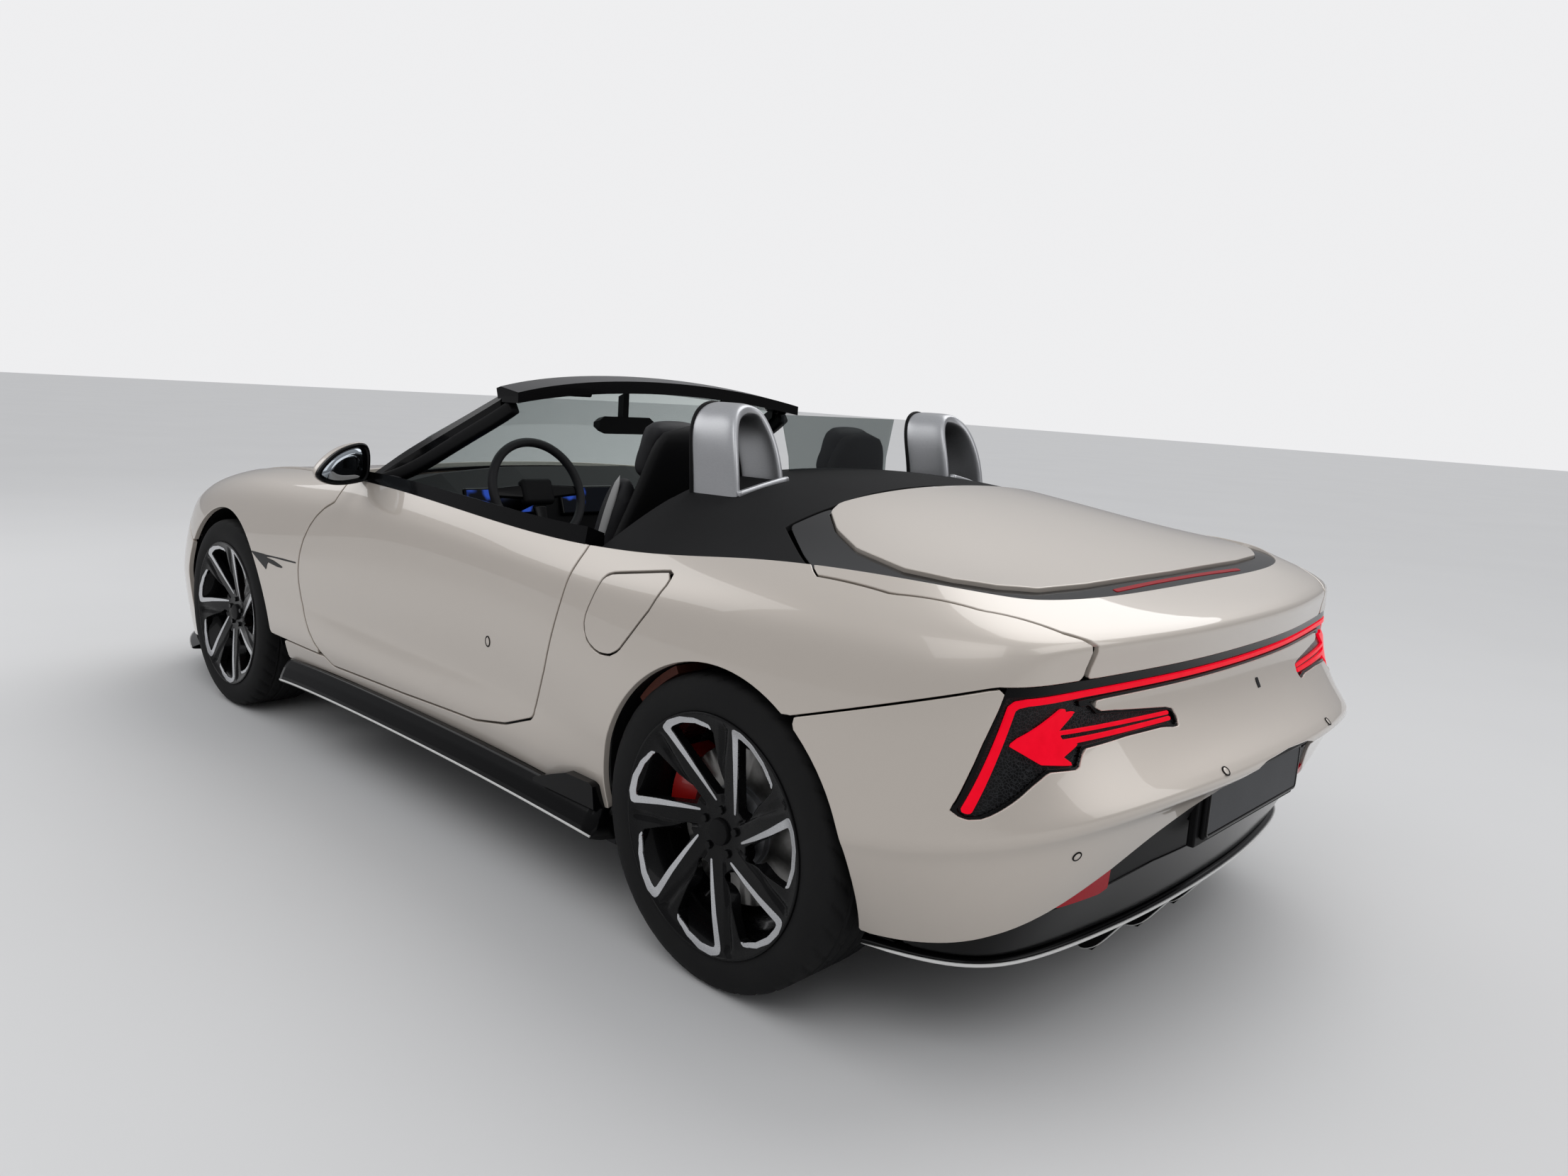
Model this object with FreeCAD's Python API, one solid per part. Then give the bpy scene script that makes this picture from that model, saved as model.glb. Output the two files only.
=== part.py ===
"""Two-seat electric roadster convertible with upswinging doors, roof stowed, in millimetres.

Frame: +X forward, +Y to the car's left, +Z up, origin on the ground at the middle of the bounding box.
Lengths named d_ or listed as d are measured forward from the rear axle, as on a body drawing.
"""
import FreeCAD, Part
import math
import os

V = FreeCAD.Vector

# Overall sizes
LENGTH = 4535.0
WHEELBASE = 2690.0
REAR_OVERHANG = 855.0
REAR_AXLE_X = -LENGTH / 2 + REAR_OVERHANG
FRONT_AXLE_X = REAR_AXLE_X + WHEELBASE
FRONT_OVERHANG = LENGTH - REAR_OVERHANG - WHEELBASE

# Wheels and brakes
TYRE_DIA_FRONT = 704.0
TYRE_DIA_REAR = 700.0
TYRE_WIDTH_FRONT = 245.0
TYRE_WIDTH_REAR = 275.0
TYRE_FACE_Y_FRONT = 930.0
TYRE_FACE_Y_REAR = 948.0
RIM_FLANGE_R = 268.0
RIM_SEAT_R = 256.0
RIM_WALL = 9.0
RIM_WELL_R = 238.0
SPOKE_COUNT = 7
HUB_BORE_R = 22.0
DISC_R = 180.0
DISC_T = 30.0
BELL_R = 92.0

# Body shell
PANEL_T = 28.0
DOOR_T = 95.0
LAMP_RECESS = 8.0
FLAP_T = 10.0
GAP = 6.0
DOOR_GAP = 7.0
FLAP_GAP = 5.0
LID_GAP = 8.0
COWL_DROP = 16.0
COWL_T = 10.0
COVER_DROP = 6.0
COVER_T = 20.0
ARCH_R_FRONT = 398.0
ARCH_R_REAR = 378.0
ARCH_INNER_Y = 430.0
ARCH_INNER_Y_REAR = 600.0

SEAT_GAP = 0.3
PIN_CLEAR = 0.05

# Joint axes
DOOR_PIVOT_D = 1770.0
DOOR_PIVOT_Y = 790.0
DOOR_PIVOT_Z = 925.0
DOOR_TILT = 8.0
DOOR_PIN_R = 12.0
KINGPIN_Y = 760.0
KINGPIN_R = 14.0
ARM_RISE = 150.0
BONNET_PIN = (2046.0, 600.0, 912.0)
BONNET_PIN_R = 6.0
LID_PIN = (99.0, 190.0, 1040.0)
LID_PIN_R = 4.0
FLAP_PIN_D = 473.0
FLAP_PIN_Z = (712.0, 764.0)
FLAP_PIN_R = 2.5
WHEEL_HUB_D = 1450.0
WHEEL_HUB_Y = 400.0
WHEEL_HUB_Z = 930.0
WHEEL_RAKE = 22.0



def ax(d):
    """Place along the car of a length measured forward from the rear axle."""
    return REAR_AXLE_X + d


def save(name, shape):
    """Write one node, as one solid or several that do not touch."""
    solids = shape.Solids
    if not solids:
        raise ValueError("no solid in " + name)
    for solid in solids:
        if solid.Volume <= 0:
            raise ValueError("inside-out solid in " + name)
    out = solids[0] if len(solids) == 1 else Part.makeCompound(solids)
    out.exportStep("parts/" + name + ".step")
    box = out.BoundBox
    print("%-26s %2d %3d faces  x %7.1f..%7.1f y %7.1f..%7.1f z %6.1f..%6.1f  %6.2f l" % (
        name, len(solids), len(out.Faces), box.XMin, box.XMax, box.YMin, box.YMax,
        box.ZMin, box.ZMax, out.Volume / 1e6))
    return out


def mirrored(shape):
    return shape.mirror(V(0, 0, 0), V(0, 1, 0))


def largest(shape):
    """The biggest of a shape's solids, without the slivers that a cut leaves."""
    return max(shape.Solids, key=lambda solid: solid.Volume)


def both(shape):
    """A left-hand piece with its mirror image."""
    return Part.makeCompound([shape, mirrored(shape)])


# Surfaces and slabs

def spline_surface(poles):
    """Clamped even cubic surface over a grid of control points."""
    def knots(n):
        return [float(k) for k in range(n - 2)]

    def mults(n):
        return [4] + [1] * (n - 4) + [4]
    nu, nv = len(poles), len(poles[0])
    surface = Part.BSplineSurface()
    surface.buildFromPolesMultsKnots(poles, mults(nu), mults(nv), knots(nu), knots(nv), False, False, 3, 3)
    return surface


def pole_normals(poles):
    """Unit normal at each control point, from its neighbours in the grid."""
    nu, nv = len(poles), len(poles[0])
    normals = []
    for i in range(nu):
        row = []
        for j in range(nv):
            du = poles[min(i + 1, nu - 1)][j] - poles[max(i - 1, 0)][j]
            dv = poles[i][min(j + 1, nv - 1)] - poles[i][max(j - 1, 0)]
            n = dv.cross(du)
            n.normalize()
            row.append(n)
        normals.append(row)
    return normals


def inset(poles, depth):
    """Control grid moved along its normals; the centre-line rows stay on the centre plane."""
    normals = pole_normals(poles)
    moved = []
    for row, nrow in zip(poles, normals):
        moved.append([])
        for p, n in zip(row, nrow):
            q = p - n * depth
            if abs(p.y) < 1e-6:
                q.y = 0.0
            moved[-1].append(q)
    return moved


def slab(outer, inner):
    """Solid between two control grids, closed by ruled sides."""
    so, si = spline_surface(outer), spline_surface(inner)
    u0, u1, v0, v1 = so.bounds()
    faces = [so.toShape(), si.toShape()]
    for a, b in ((so.uIso(u0), si.uIso(u0)), (so.uIso(u1), si.uIso(u1)),
                 (so.vIso(v0), si.vIso(v0)), (so.vIso(v1), si.vIso(v1))):
        faces.append(Part.makeRuledSurface(a.toShape(), b.toShape()))
    shell = Part.makeShell(faces)
    shell.sewShape()
    solid = Part.makeSolid(shell)
    if solid.Volume < 0:
        solid.reverse()
    return solid


def outline(points, place):
    """Closed wire; a row of four numbers is an arc through its first pair to its second."""
    edges = []
    start = place(points[0][0], points[0][1])
    here = start
    for row in points[1:]:
        if len(row) == 4:
            mid, end = place(row[0], row[1]), place(row[2], row[3])
            edges.append(Part.Arc(here, mid, end).toShape())
        else:
            end = place(row[0], row[1])
            edges.append(Part.LineSegment(here, end).toShape())
        here = end
    if (here - start).Length > 1e-6:
        edges.append(Part.LineSegment(here, start).toShape())
    return Part.Wire(edges)


def side_prism(points, y0, y1):
    """Outline in side view (d, z), run across the car from y0 to y1."""
    wire = outline(points, lambda d, z: V(ax(d), y0, z))
    return Part.Face(wire).extrude(V(0, y1 - y0, 0))


def plan_prism(points, z0, z1):
    """Outline in plan (d, y), run upwards from z0 to z1."""
    wire = outline(points, lambda d, y: V(ax(d), y, z0))
    return Part.Face(wire).extrude(V(0, 0, z1 - z0))


def rear_prism(points, d0, d1):
    """Outline seen from behind (y, z), run along the car from d0 to d1."""
    wire = outline(points, lambda y, z: V(ax(d0), y, z))
    return Part.Face(wire).extrude(V(d1 - d0, 0, 0))


def block(d0, d1, y0, y1, z0, z1):
    return Part.makeBox(d1 - d0, y1 - y0, z1 - z0, V(ax(d0), y0, z0))


def cyl_y(d, z, radius, y0, y1):
    return Part.makeCylinder(radius, y1 - y0, V(ax(d), y0, z), V(0, 1, 0))


def loft(sections, ruled=False):
    """Solid through closed sections given as lists of points."""
    wires = [Part.makePolygon(list(s) + [s[0]]) for s in sections]
    solid = Part.makeLoft(wires, True, ruled)
    if solid.Volume < 0:
        solid.reverse()
    return solid


# The body side, from the middle of the tail round the left flank to the middle of the nose.
# Each station: d and y of its base point, direction of its outward normal in degrees,
# heights of its foot, crest and shoulder, outward offsets of its nine side rows,
# and inward offset and height of the three rows that close over the shoulder.
LOWER_ROWS = (0.0, 0.28, 0.56, 0.78, 0.92, 1.0)
UPPER_ROWS = (0.17, 0.54, 1.0)
TAIL_OFFSETS = (-165, -135, -90, -48, -14, 36, -20, -104, -118)
NOSE_OFFSETS = (-35, -15, -4, 0, 3, 3, -3, -20, -48)
STATIONS = (
    (-838, 0, 180, 190, 587, 798, TAIL_OFFSETS, (88, 862), (92, 882), (238, 925)),
    (-832, 220, 178, 190, 587, 798, TAIL_OFFSETS, (88, 862), (92, 882), (232, 925)),
    (-808, 470, 173, 195, 578, 798, (-160, -128, -82, -42, -12, 32, -18, -98, -114),
     (86, 862), (90, 882), (208, 927)),
    (-757, 700, 160, 205, 556, 800, (-150, -100, -50, -28, -10, 25, -12, -72, -98),
     (76, 862), (84, 884), (214, 930)),
    (-650, 850, 130, 215, 515, 800, (-120, -75, -40, -20, -8, 12, 2, -8, -10),
     (30, 862), (62, 896), (215, 938)),
    (-470, 925, 103, 225, 470, 800, (-95, -60, -30, -12, -3, 6, 3, -2, -18),
     (45, 864), (82, 903), (166, 951)),
    (-230, 955, 94, 240, 450, 820, (-75, -45, -22, -8, -2, 3, 4, 0, -24),
     (55, 882), (92, 918), (143, 957)),
    (40, 965, 90, 240, 450, 820, (-45, -30, -18, -8, -2, 2, 4, -2, -28),
     (60, 880), (95, 914), (135, 943)),
    (340, 948, 88, 290, 470, 800, (-30, -20, -12, -6, -2, 2, 4, -3, -28),
     (52, 846), (80, 879), (103, 903)),
    (700, 918, 87, 300, 480, 800, (-18, 2, 4, 0, -4, -6, -6, -2, -18),
     (38, 838), (55, 868), (70, 890)),
    (1100, 905, 89, 300, 480, 810, (-16, 4, 4, -2, -8, -10, -8, -1, -14),
     (30, 850), (46, 882), (62, 907)),
    (1550, 910, 91, 300, 480, 820, (-16, 3, 3, -3, -9, -12, -9, -1, -14),
     (32, 870), (52, 905), (74, 935)),
    (2000, 927, 92, 300, 500, 810, (-20, 0, 2, -2, -6, -9, -6, 0, -22),
     (48, 862), (75, 900), (102, 935)),
    (2400, 945, 91, 270, 500, 800, (-40, -25, -14, -7, -2, 0, 2, -3, -32),
     (65, 858), (110, 905), (175, 920)),
    (2720, 950, 88, 250, 480, 780, (-45, -30, -18, -9, -3, 0, 2, -4, -35),
     (70, 835), (115, 878), (185, 895)),
    (3050, 930, 80, 190, 460, 740, (-35, -22, -12, -5, 0, 3, 2, -8, -35),
     (70, 790), (120, 832), (190, 850)),
    (3320, 865, 62, 150, 430, 690, (-30, -16, -6, 0, 2, 3, 0, -15, -45),
     (80, 735), (125, 765), (190, 785)),
    (3505, 730, 40, 135, 400, 640, (-30, -14, -4, 0, 3, 3, -3, -20, -50),
     (85, 680), (130, 705), (190, 725)),
    (3625, 480, 18, 130, 380, 600, NOSE_OFFSETS, (80, 637), (125, 660), (190, 682)),
    (3670, 220, 6, 130, 375, 590, NOSE_OFFSETS, (80, 625), (125, 650), (195, 675)),
    (3678, 0, 0, 130, 375, 590, NOSE_OFFSETS, (80, 625), (125, 650), (195, 675)),
)


def body_poles():
    grid = []
    for d, y, angle, z_foot, z_crest, z_shoulder, outs, *tops in STATIONS:
        nx, ny = math.cos(math.radians(angle)), math.sin(math.radians(angle))
        heights = [z_foot + f * (z_crest - z_foot) for f in LOWER_ROWS]
        heights += [z_crest + f * (z_shoulder - z_crest) for f in UPPER_ROWS]
        rows = list(zip(outs, heights)) + [(-inward, z) for inward, z in tops]
        column = []
        for out, z in rows:
            py = 0.0 if y == 0 else y + out * ny
            column.append(V(ax(d) + out * nx, py, z))
        grid.append(column)
    grid[1] = [V(grid[0][j].x, p.y, grid[0][j].z) for j, p in enumerate(grid[1])]
    grid[-2] = [V(grid[-1][j].x, p.y, grid[-1][j].z) for j, p in enumerate(grid[-2])]
    return grid


# Rear deck: heights over the plan, from the lip to the front of the hoods behind the seats
DECK_D = (-760, -600, -400, -150, 100, 340, 560)
DECK_Y = (0, 200, 420, 600, 740, 850)
DECK_Z = (
    (884, 884, 884, 884, 884, 884),
    (925, 925, 926, 930, 932, 930),
    (968, 967, 962, 955, 950, 940),
    (1012, 1010, 1000, 984, 965, 945),
    (1047, 1043, 1022, 993, 962, 930),
    (1062, 1056, 1032, 990, 945, 895),
    (1062, 1055, 1030, 975, 925, 880),
)
# Bonnet: heights over the plan, from the cowl to the nose
HOOD_D = (1860, 1960, 2200, 2500, 2800, 3080, 3300, 3440, 3510)
HOOD_Y = (0, 250, 480, 660, 800, 900)
HOOD_Z = (
    (1003, 1000, 984, 955, 935, 920),
    (985, 982, 968, 950, 938, 925),
    (965, 962, 952, 942, 938, 930),
    (935, 932, 926, 922, 922, 915),
    (892, 890, 886, 884, 884, 870),
    (832, 830, 828, 826, 822, 800),
    (762, 760, 758, 754, 745, 720),
    (704, 702, 698, 690, 680, 660),
    (672, 670, 664, 655, 645, 630),
)


def height_poles(ds, ys, zs, lift=0.0):
    """Control grid of a height field over the whole width of the car."""
    signs = [-y for y in reversed(ys[1:])] + list(ys)
    grid = []
    for d, row in zip(ds, zs):
        full = list(reversed(row[1:])) + list(row)
        grid.append([V(ax(d), y, z + lift) for y, z in zip(signs, full)])
    return grid


def height_slab(ds, ys, zs, lift, depth):
    """Solid of the given depth under a height field."""
    return slab(height_poles(ds, ys, zs, lift), height_poles(ds, ys, zs, lift - depth))


# Door in side view, as d and z
DOOR_OUTLINE = (
    (575, 1000), (578, 880), (600, 760), (646, 580), (688, 462), (696, 440, 716, 430),
    (820, 392), (980, 361), (1380, 342), (1820, 332),
    (1835, 334, 1850, 343), (2052, 600, 1880, 857), (1874, 935), (1874, 1000),
)


def grow(points, by):
    """Outline moved outwards by a gap, about its middle, side by side."""
    xs = [p[-2] for p in points]
    zs = [p[-1] for p in points]
    cx, cz = (min(xs) + max(xs)) / 2, (min(zs) + max(zs)) / 2
    hx, hz = (max(xs) - min(xs)) / 2, (max(zs) - min(zs)) / 2
    fx, fz = (hx + by) / hx, (hz + by) / hz
    out = []
    for row in points:
        pairs = [(cx + (row[k] - cx) * fx, cz + (row[k + 1] - cz) * fz) for k in range(0, len(row), 2)]
        out.append(tuple(value for pair in pairs for value in pair))
    return out


def wheel_void(d, z, radius, y_in):
    """Room for a wheel, cut out of everything round it on the left side."""
    return cyl_y(d, z, radius, y_in, 1100)


def edge_curve(poles, shift, z):
    """Top edge of the body side in plan, moved inwards by a gap, as a curve at one height."""
    top = [row[-1] for row in poles]
    n = len(top)
    moved = []
    for i, p in enumerate(top):
        along = top[min(i + 1, n - 1)] - top[max(i - 1, 0)]
        inward = V(along.y, -along.x, 0)
        inward.normalize()
        q = V(p.x, p.y, z) + inward * shift
        if i < 2:
            q.x = top[0].x + shift
        if i > n - 3:
            q.x = top[-1].x - shift
        if i in (0, n - 1):
            q.y = 0.0
        moved.append(q)
    curve = Part.BSplineCurve()
    knots = [float(k) for k in range(n - 2)]
    curve.buildFromPolesMultsKnots(moved, [4] + [1] * (n - 4) + [4], knots, False, 3)
    return curve.toShape()


def inside_edge(poles, shift, z0, z1):
    """Upright prism inside the top edge of the body, over the whole width."""
    left = edge_curve(poles, shift, z0)
    wire = Part.Wire([left, mirrored(left)])
    return Part.Face(wire).extrude(V(0, 0, z1 - z0))


def join(shapes):
    """One solid from curved pieces that overlap or meet."""
    return shapes[0].multiFuse(shapes[1:])


def fuse(shapes):
    """One solid from flat and round pieces, with faces that lie in one plane made one."""
    return join(shapes).removeSplitter()


# Outlines that more than one panel shares
LID_SHUTLINE = ((96, 640), (-60, 760), (-165, 832), (-350, 817), (-520, 758), (-640, 672), (-692, 607),
                (-1000, 607))
SEAM_Z = (812, 658)
LAMP_OUTLINE = ((640, 757), (640, 800), (858, 800), (900, 556), (868, 548), (800, 592), (715, 655),
                (340, 680), (322, 700), (340, 720), (600, 757))
BAR_LOW, BAR_HIGH = 757, 800
TAIL_EDGE = ((0, 560), (384, 566), (610, 500), (760, 375), (900, 240))
FLAP_OUTLINE = ((222, 880), (250, 882), (440, 846), (478, 760, 486, 735), (480, 700, 390, 690),
                (345, 690, 300, 735), (250, 800, 222, 858))
COWL_OUTLINE = ((2165, 0), (2140, 400), (2090, 600), (2052, 740), (2052, 870), (1886, 870), (1886, 760),
                (1935, 700), (2045, 420), (2100, 0))
BONNET_OUTLINE = ((2175, 0), (2150, 400), (2100, 600), (2062, 740), (2062, 900), (3500, 900), (3500, 0))
PLATE_POCKET = (-1000.0, -766.0, -285.0, 285.0, 405.0, 562.0)
HEADLAMP_OUTLINE = ((540, 590), (800, 652), (862, 700), (800, 690), (660, 655), (545, 618))
INTAKE_OUTLINE = ((-560, 190), (560, 190), (620, 240), (520, 350), (0, 372), (-520, 350), (-620, 240))
PANEL_OUTLINE = ((98, 0), (96, 470), (70, 530), (-20, 610), (-140, 680), (-300, 715), (-400, 690), (-470, 640),
                 (-515, 560), (-530, 400), (-536, 0))


def mirror_outline(points):
    """Half outline in plan, from the centre line and back to it, made whole."""
    return list(points) + [(d, -y) for d, y in reversed(points[1:-1])]


def lid_plan(grow_by, z0, z1):
    half = [(d + grow_by if k == 0 else d, y + grow_by) for k, (d, y) in enumerate(LID_SHUTLINE)]
    half[5] = (half[5][0] - grow_by * 0.9, half[5][1])
    half[6] = (half[6][0] - grow_by * 0.9, half[6][1])
    points = half + [(d, -y) for d, y in reversed(half)]
    return plan_prism(points, z0, z1)


def build_outer_body(poles):
    top_hole = inside_edge(poles, 0.5, 500, 1300)
    thin = slab(poles, inset(poles, PANEL_T)).cut(top_hole)
    recessed = inset(poles, LAMP_RECESS)
    lamp_skin = slab(recessed, inset(recessed, PANEL_T - LAMP_RECESS))
    rear_void = wheel_void(0, TYRE_DIA_REAR / 2, ARCH_R_REAR, ARCH_INNER_Y_REAR)
    front_void = wheel_void(WHEELBASE, TYRE_DIA_FRONT / 2, ARCH_R_FRONT, ARCH_INNER_Y)
    door_gap = side_prism(grow(DOOR_OUTLINE, DOOR_GAP), 300, 1100)

    lamp_prism = rear_prism(LAMP_OUTLINE, -1100, -480)
    lamp_hole = rear_prism(HEADLAMP_OUTLINE, 3100, 3900)

    # Side panel behind the door, with the sill under it
    side = ((-900, SEAM_Z[0]), (-640, SEAM_Z[0]), (-172, SEAM_Z[1]), (-100, 300), (-100, 290), (2180, 285),
            (2180, 348), (1800, 348), (1800, 1100), (-900, 1100))
    quarter = thin.common(side_prism(side, 300, 1100))
    quarter = quarter.cut(door_gap).cut(rear_void).cut(front_void).cut(lid_plan(LID_GAP, 780, 1200))
    quarter = quarter.cut(block(-1200, -560, 0, 900, 700, LID_FOOT_Z)).cut(lamp_prism)
    flap_seat = side_prism(grow(FLAP_OUTLINE, FLAP_GAP), 800, 1100)
    foot, head = (V(ax(FLAP_PIN_D), side_surface_y(poles, FLAP_PIN_D, z) - 6.0, z) for z in FLAP_PIN_Z)
    pin = leaning_cylinder(foot, head, FLAP_PIN_R, 36)
    room = leaning_cylinder(foot, head, FLAP_PIN_R + 5.5, 24)
    bore = leaning_cylinder(foot, head, FLAP_PIN_R + PIN_CLEAR, 60)
    flap = slab(poles, inset(poles, FLAP_T)).common(side_prism(FLAP_OUTLINE, 800, 1100))
    flap = join([flap, leaning_cylinder(foot, head, 2 * FLAP_PIN_R, 0)]).cut(bore)
    save("charge_flap", largest(flap))
    tray = side_prism(grow(FLAP_OUTLINE, 16), 845, 1000).cut(side_prism(grow(FLAP_OUTLINE, 6), 855, 1100))
    tray = tray.cut(slab(inset(poles, -80.0), inset(poles, PANEL_T + SEAT_GAP)))
    socket = cyl_y(350, 780, 34, 850, 880).cut(cyl_y(350, 780, 28, 862, 890))
    save("charge_socket", join([largest(tray), socket]))
    save("side_panels", Part.makeCompound([join([quarter.cut(flap_seat).cut(room), pin]), mirrored(quarter)]))

    # Front wing, from the door to the nose section
    wing_outline = ((1800, 354), (2700, 354), (2700, 580), (3010, 580), (3335, 700), (3335, 1100), (1806, 1100))
    wing = thin.common(side_prism(wing_outline, 300, 1100)).cut(door_gap).cut(front_void).cut(lamp_hole)
    save("front_wings", both(wing))

    # Nose section
    nose_outline = ((2706, 60), (2706, 574), (3013, 574), (3341, 696), (3341, 1100), (3900, 1100), (3900, 60))
    nose = thin.common(side_prism(nose_outline, -10, 1100)).cut(front_void)
    nose = nose.cut(lamp_hole).cut(rear_prism(INTAKE_OUTLINE, 3200, 3900))
    save("front_bumper", join([nose, mirrored(nose)]))
    headlamp = lamp_skin.common(rear_prism(HEADLAMP_OUTLINE, 3100, 3900))
    save("headlamps", both(headlamp))
    grille = lamp_skin.common(rear_prism([(y * 0.985, z * 0.99 + 3) for y, z in INTAKE_OUTLINE], 3200, 3900))
    save("front_grille", join([grille, mirrored(grille)]))

    # Tail section under the light bar
    bar = rear_prism([(-1, BAR_LOW), (-1, BAR_HIGH), (870, BAR_HIGH), (870, BAR_LOW)], -1100, -560)
    lamps = lamp_skin.common(lamp_prism.fuse(bar))
    save("tail_lamps", join([lamps, mirrored(lamps)]))
    tail_region = ((-1100, 200), (-1100, BAR_LOW), (-640, BAR_LOW), (-640, SEAM_Z[0] - GAP),
                   (-175, SEAM_Z[1] - GAP), (-175, 200))
    tail = thin.common(side_prism(tail_region, -10, 1100)).cut(rear_void).cut(lamp_prism)
    below = rear_prism([(-10, 100)] + [(-10, TAIL_EDGE[0][1])] + list(TAIL_EDGE) + [(1000, 100)], -1100, -100)
    tail = largest(tail.cut(below))
    pocket = block(*PLATE_POCKET)
    save("rear_bumper", join([tail, mirrored(tail)]).cut(pocket))
    diffuser = lamp_skin.common(side_prism(((-1100, 185), (-1100, 700), (-175, 700), (-175, 185)), -10, 1100))
    diffuser = diffuser.common(rear_prism([(-10, 100), (-10, 556)] + [(y, z - 4) for y, z in TAIL_EDGE]
                                          + [(1000, 100)], -1100, -100)).cut(rear_void)
    save("diffuser", join([diffuser, mirrored(diffuser)]).cut(pocket))

    # Lid of the boot: painted edge with its lip, black band and centre panel
    skin = slab(poles, inset(poles, LID_SKIN_T)).cut(top_hole).common(lid_plan(0, LID_FOOT_Z, 1200))
    flange = thin.common(lid_plan(-LID_FLANGE_STEP, LID_FOOT_Z, 1200))
    edge = join([skin, flange]).common(block(-1000, 96, -10, 1000, LID_FOOT_Z, 1200))
    save("boot_lid", join([edge, mirrored(edge)]))
    deck = height_slab(DECK_D, DECK_Y, DECK_Z, -COVER_DROP, COVER_T)
    inner = inside_edge(poles, 1.0, 700, 1300)
    panel_plan = plan_prism(mirror_outline(PANEL_OUTLINE), 700, 1300)
    panel_hole = plan_prism(mirror_outline([(d + (2 if d > 0 else -2), y + (2 if y else 0))
                                            for d, y in PANEL_OUTLINE]), 700, 1300)
    band = deck.common(inner).common(lid_plan(0, 700, 1300)).cut(panel_hole)
    save("boot_band", band)
    panel = height_slab(DECK_D, DECK_Y, DECK_Z, 3.0, 30.0).common(panel_plan)

    # Fixed black cover between the lid and the seats
    cover = deck.common(inside_edge(poles, 3.0, 700, 1300)).cut(lid_plan(LID_GAP, 700, 1300))
    cover = cover.common(plan_prism(((-300, -900), (640, -900), (700, -835), (620, -640), (560, -600),
                                     (560, 600), (620, 640), (700, 835), (640, 900), (-300, 900)), 700, 1300))

    # Two hinges: on each the lid has one barrel of the pin, the cover the other
    d, y, z = LID_PIN
    for side in (1, -1):
        lid_barrel = cyl_y(d, z, 2 * LID_PIN_R, side * y - 15, side * y - 1)
        cover_barrel = cyl_y(d, z, 2 * LID_PIN_R, side * y + 1, side * y + 15)
        room_for_lid = block(d - 30, d + 14, side * y - 20, side * y + 0.5, z - 40, z + 60)
        room_for_cover = block(d - 14, d + 5, side * y - 0.5, side * y + 20, z - 40, z + 60)
        panel = panel.cut(room_for_cover)
        panel = join([panel, lid_barrel, block(d - 12, d, side * y - 15, side * y - 1, z - 2 * LID_PIN_R, z)])
        panel = panel.cut(cyl_y(d, z, LID_PIN_R + PIN_CLEAR, side * y - 30, side * y + 30))
        cover = cover.cut(room_for_lid)
        cover = join([cover, cover_barrel, block(d, d + 12, side * y + 1, side * y + 15, z - 2 * LID_PIN_R, z),
                      cyl_y(d, z, LID_PIN_R, side * y - 15, side * y + 15)])
    save("boot_panel", panel)
    save("deck_cover", cover)

    # Bonnet and the black cowl behind it
    hood = height_slab(HOOD_D, HOOD_Y, HOOD_Z, 0.0, PANEL_T).common(inside_edge(poles, GAP, 500, 1200))
    hood = hood.common(plan_prism(mirror_outline(BONNET_OUTLINE), 500, 1200))
    above = height_slab(HOOD_D, HOOD_Y, HOOD_Z, 200.0, 200.0 + PANEL_T / 2)
    d, y, z = BONNET_PIN
    for side in (1, -1):
        lug = side_prism(((d - 13, z - 12), (d + 12, z - 14), (d + 104, z - 5), (d + 150, z + 14), (d + 150, z + 60),
                          (d + 60, z + 60), (d + 52, z + 14), (d - 10, z + 12)), side * y - 6, side * y + 6)
        hood = join([hood, lug.cut(above)]).cut(cyl_y(d, z, BONNET_PIN_R + PIN_CLEAR, side * y - 10, side * y + 10))
    save("bonnet", hood)
    cowl = height_slab(HOOD_D, HOOD_Y, HOOD_Z, -COWL_DROP, COWL_T).common(inside_edge(poles, PANEL_T, 500, 1200))
    cowl = cowl.common(plan_prism(mirror_outline(COWL_OUTLINE), 500, 1200))
    for side in (1, -1):
        cowl = cowl.cut(block(d - 22, 2300, side * y - 13, side * y + 13, 800, 1000))
    return cowl


def side_surface_y(poles, d, z):
    """Distance of the painted left flank from the centre plane at one place."""
    line = Part.LineSegment(V(ax(d), 600, z), V(ax(d), 1100, z)).toShape()
    return line.distToShape(spline_surface(poles).toShape())[1][0][0].y


def leaning_cylinder(foot, head, radius, beyond):
    """Cylinder from foot to head, longer by the same piece at both ends."""
    along = head - foot
    length = along.Length + 2 * beyond
    along.normalize()
    return Part.makeCylinder(radius, length, foot - along * beyond, along)


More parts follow.
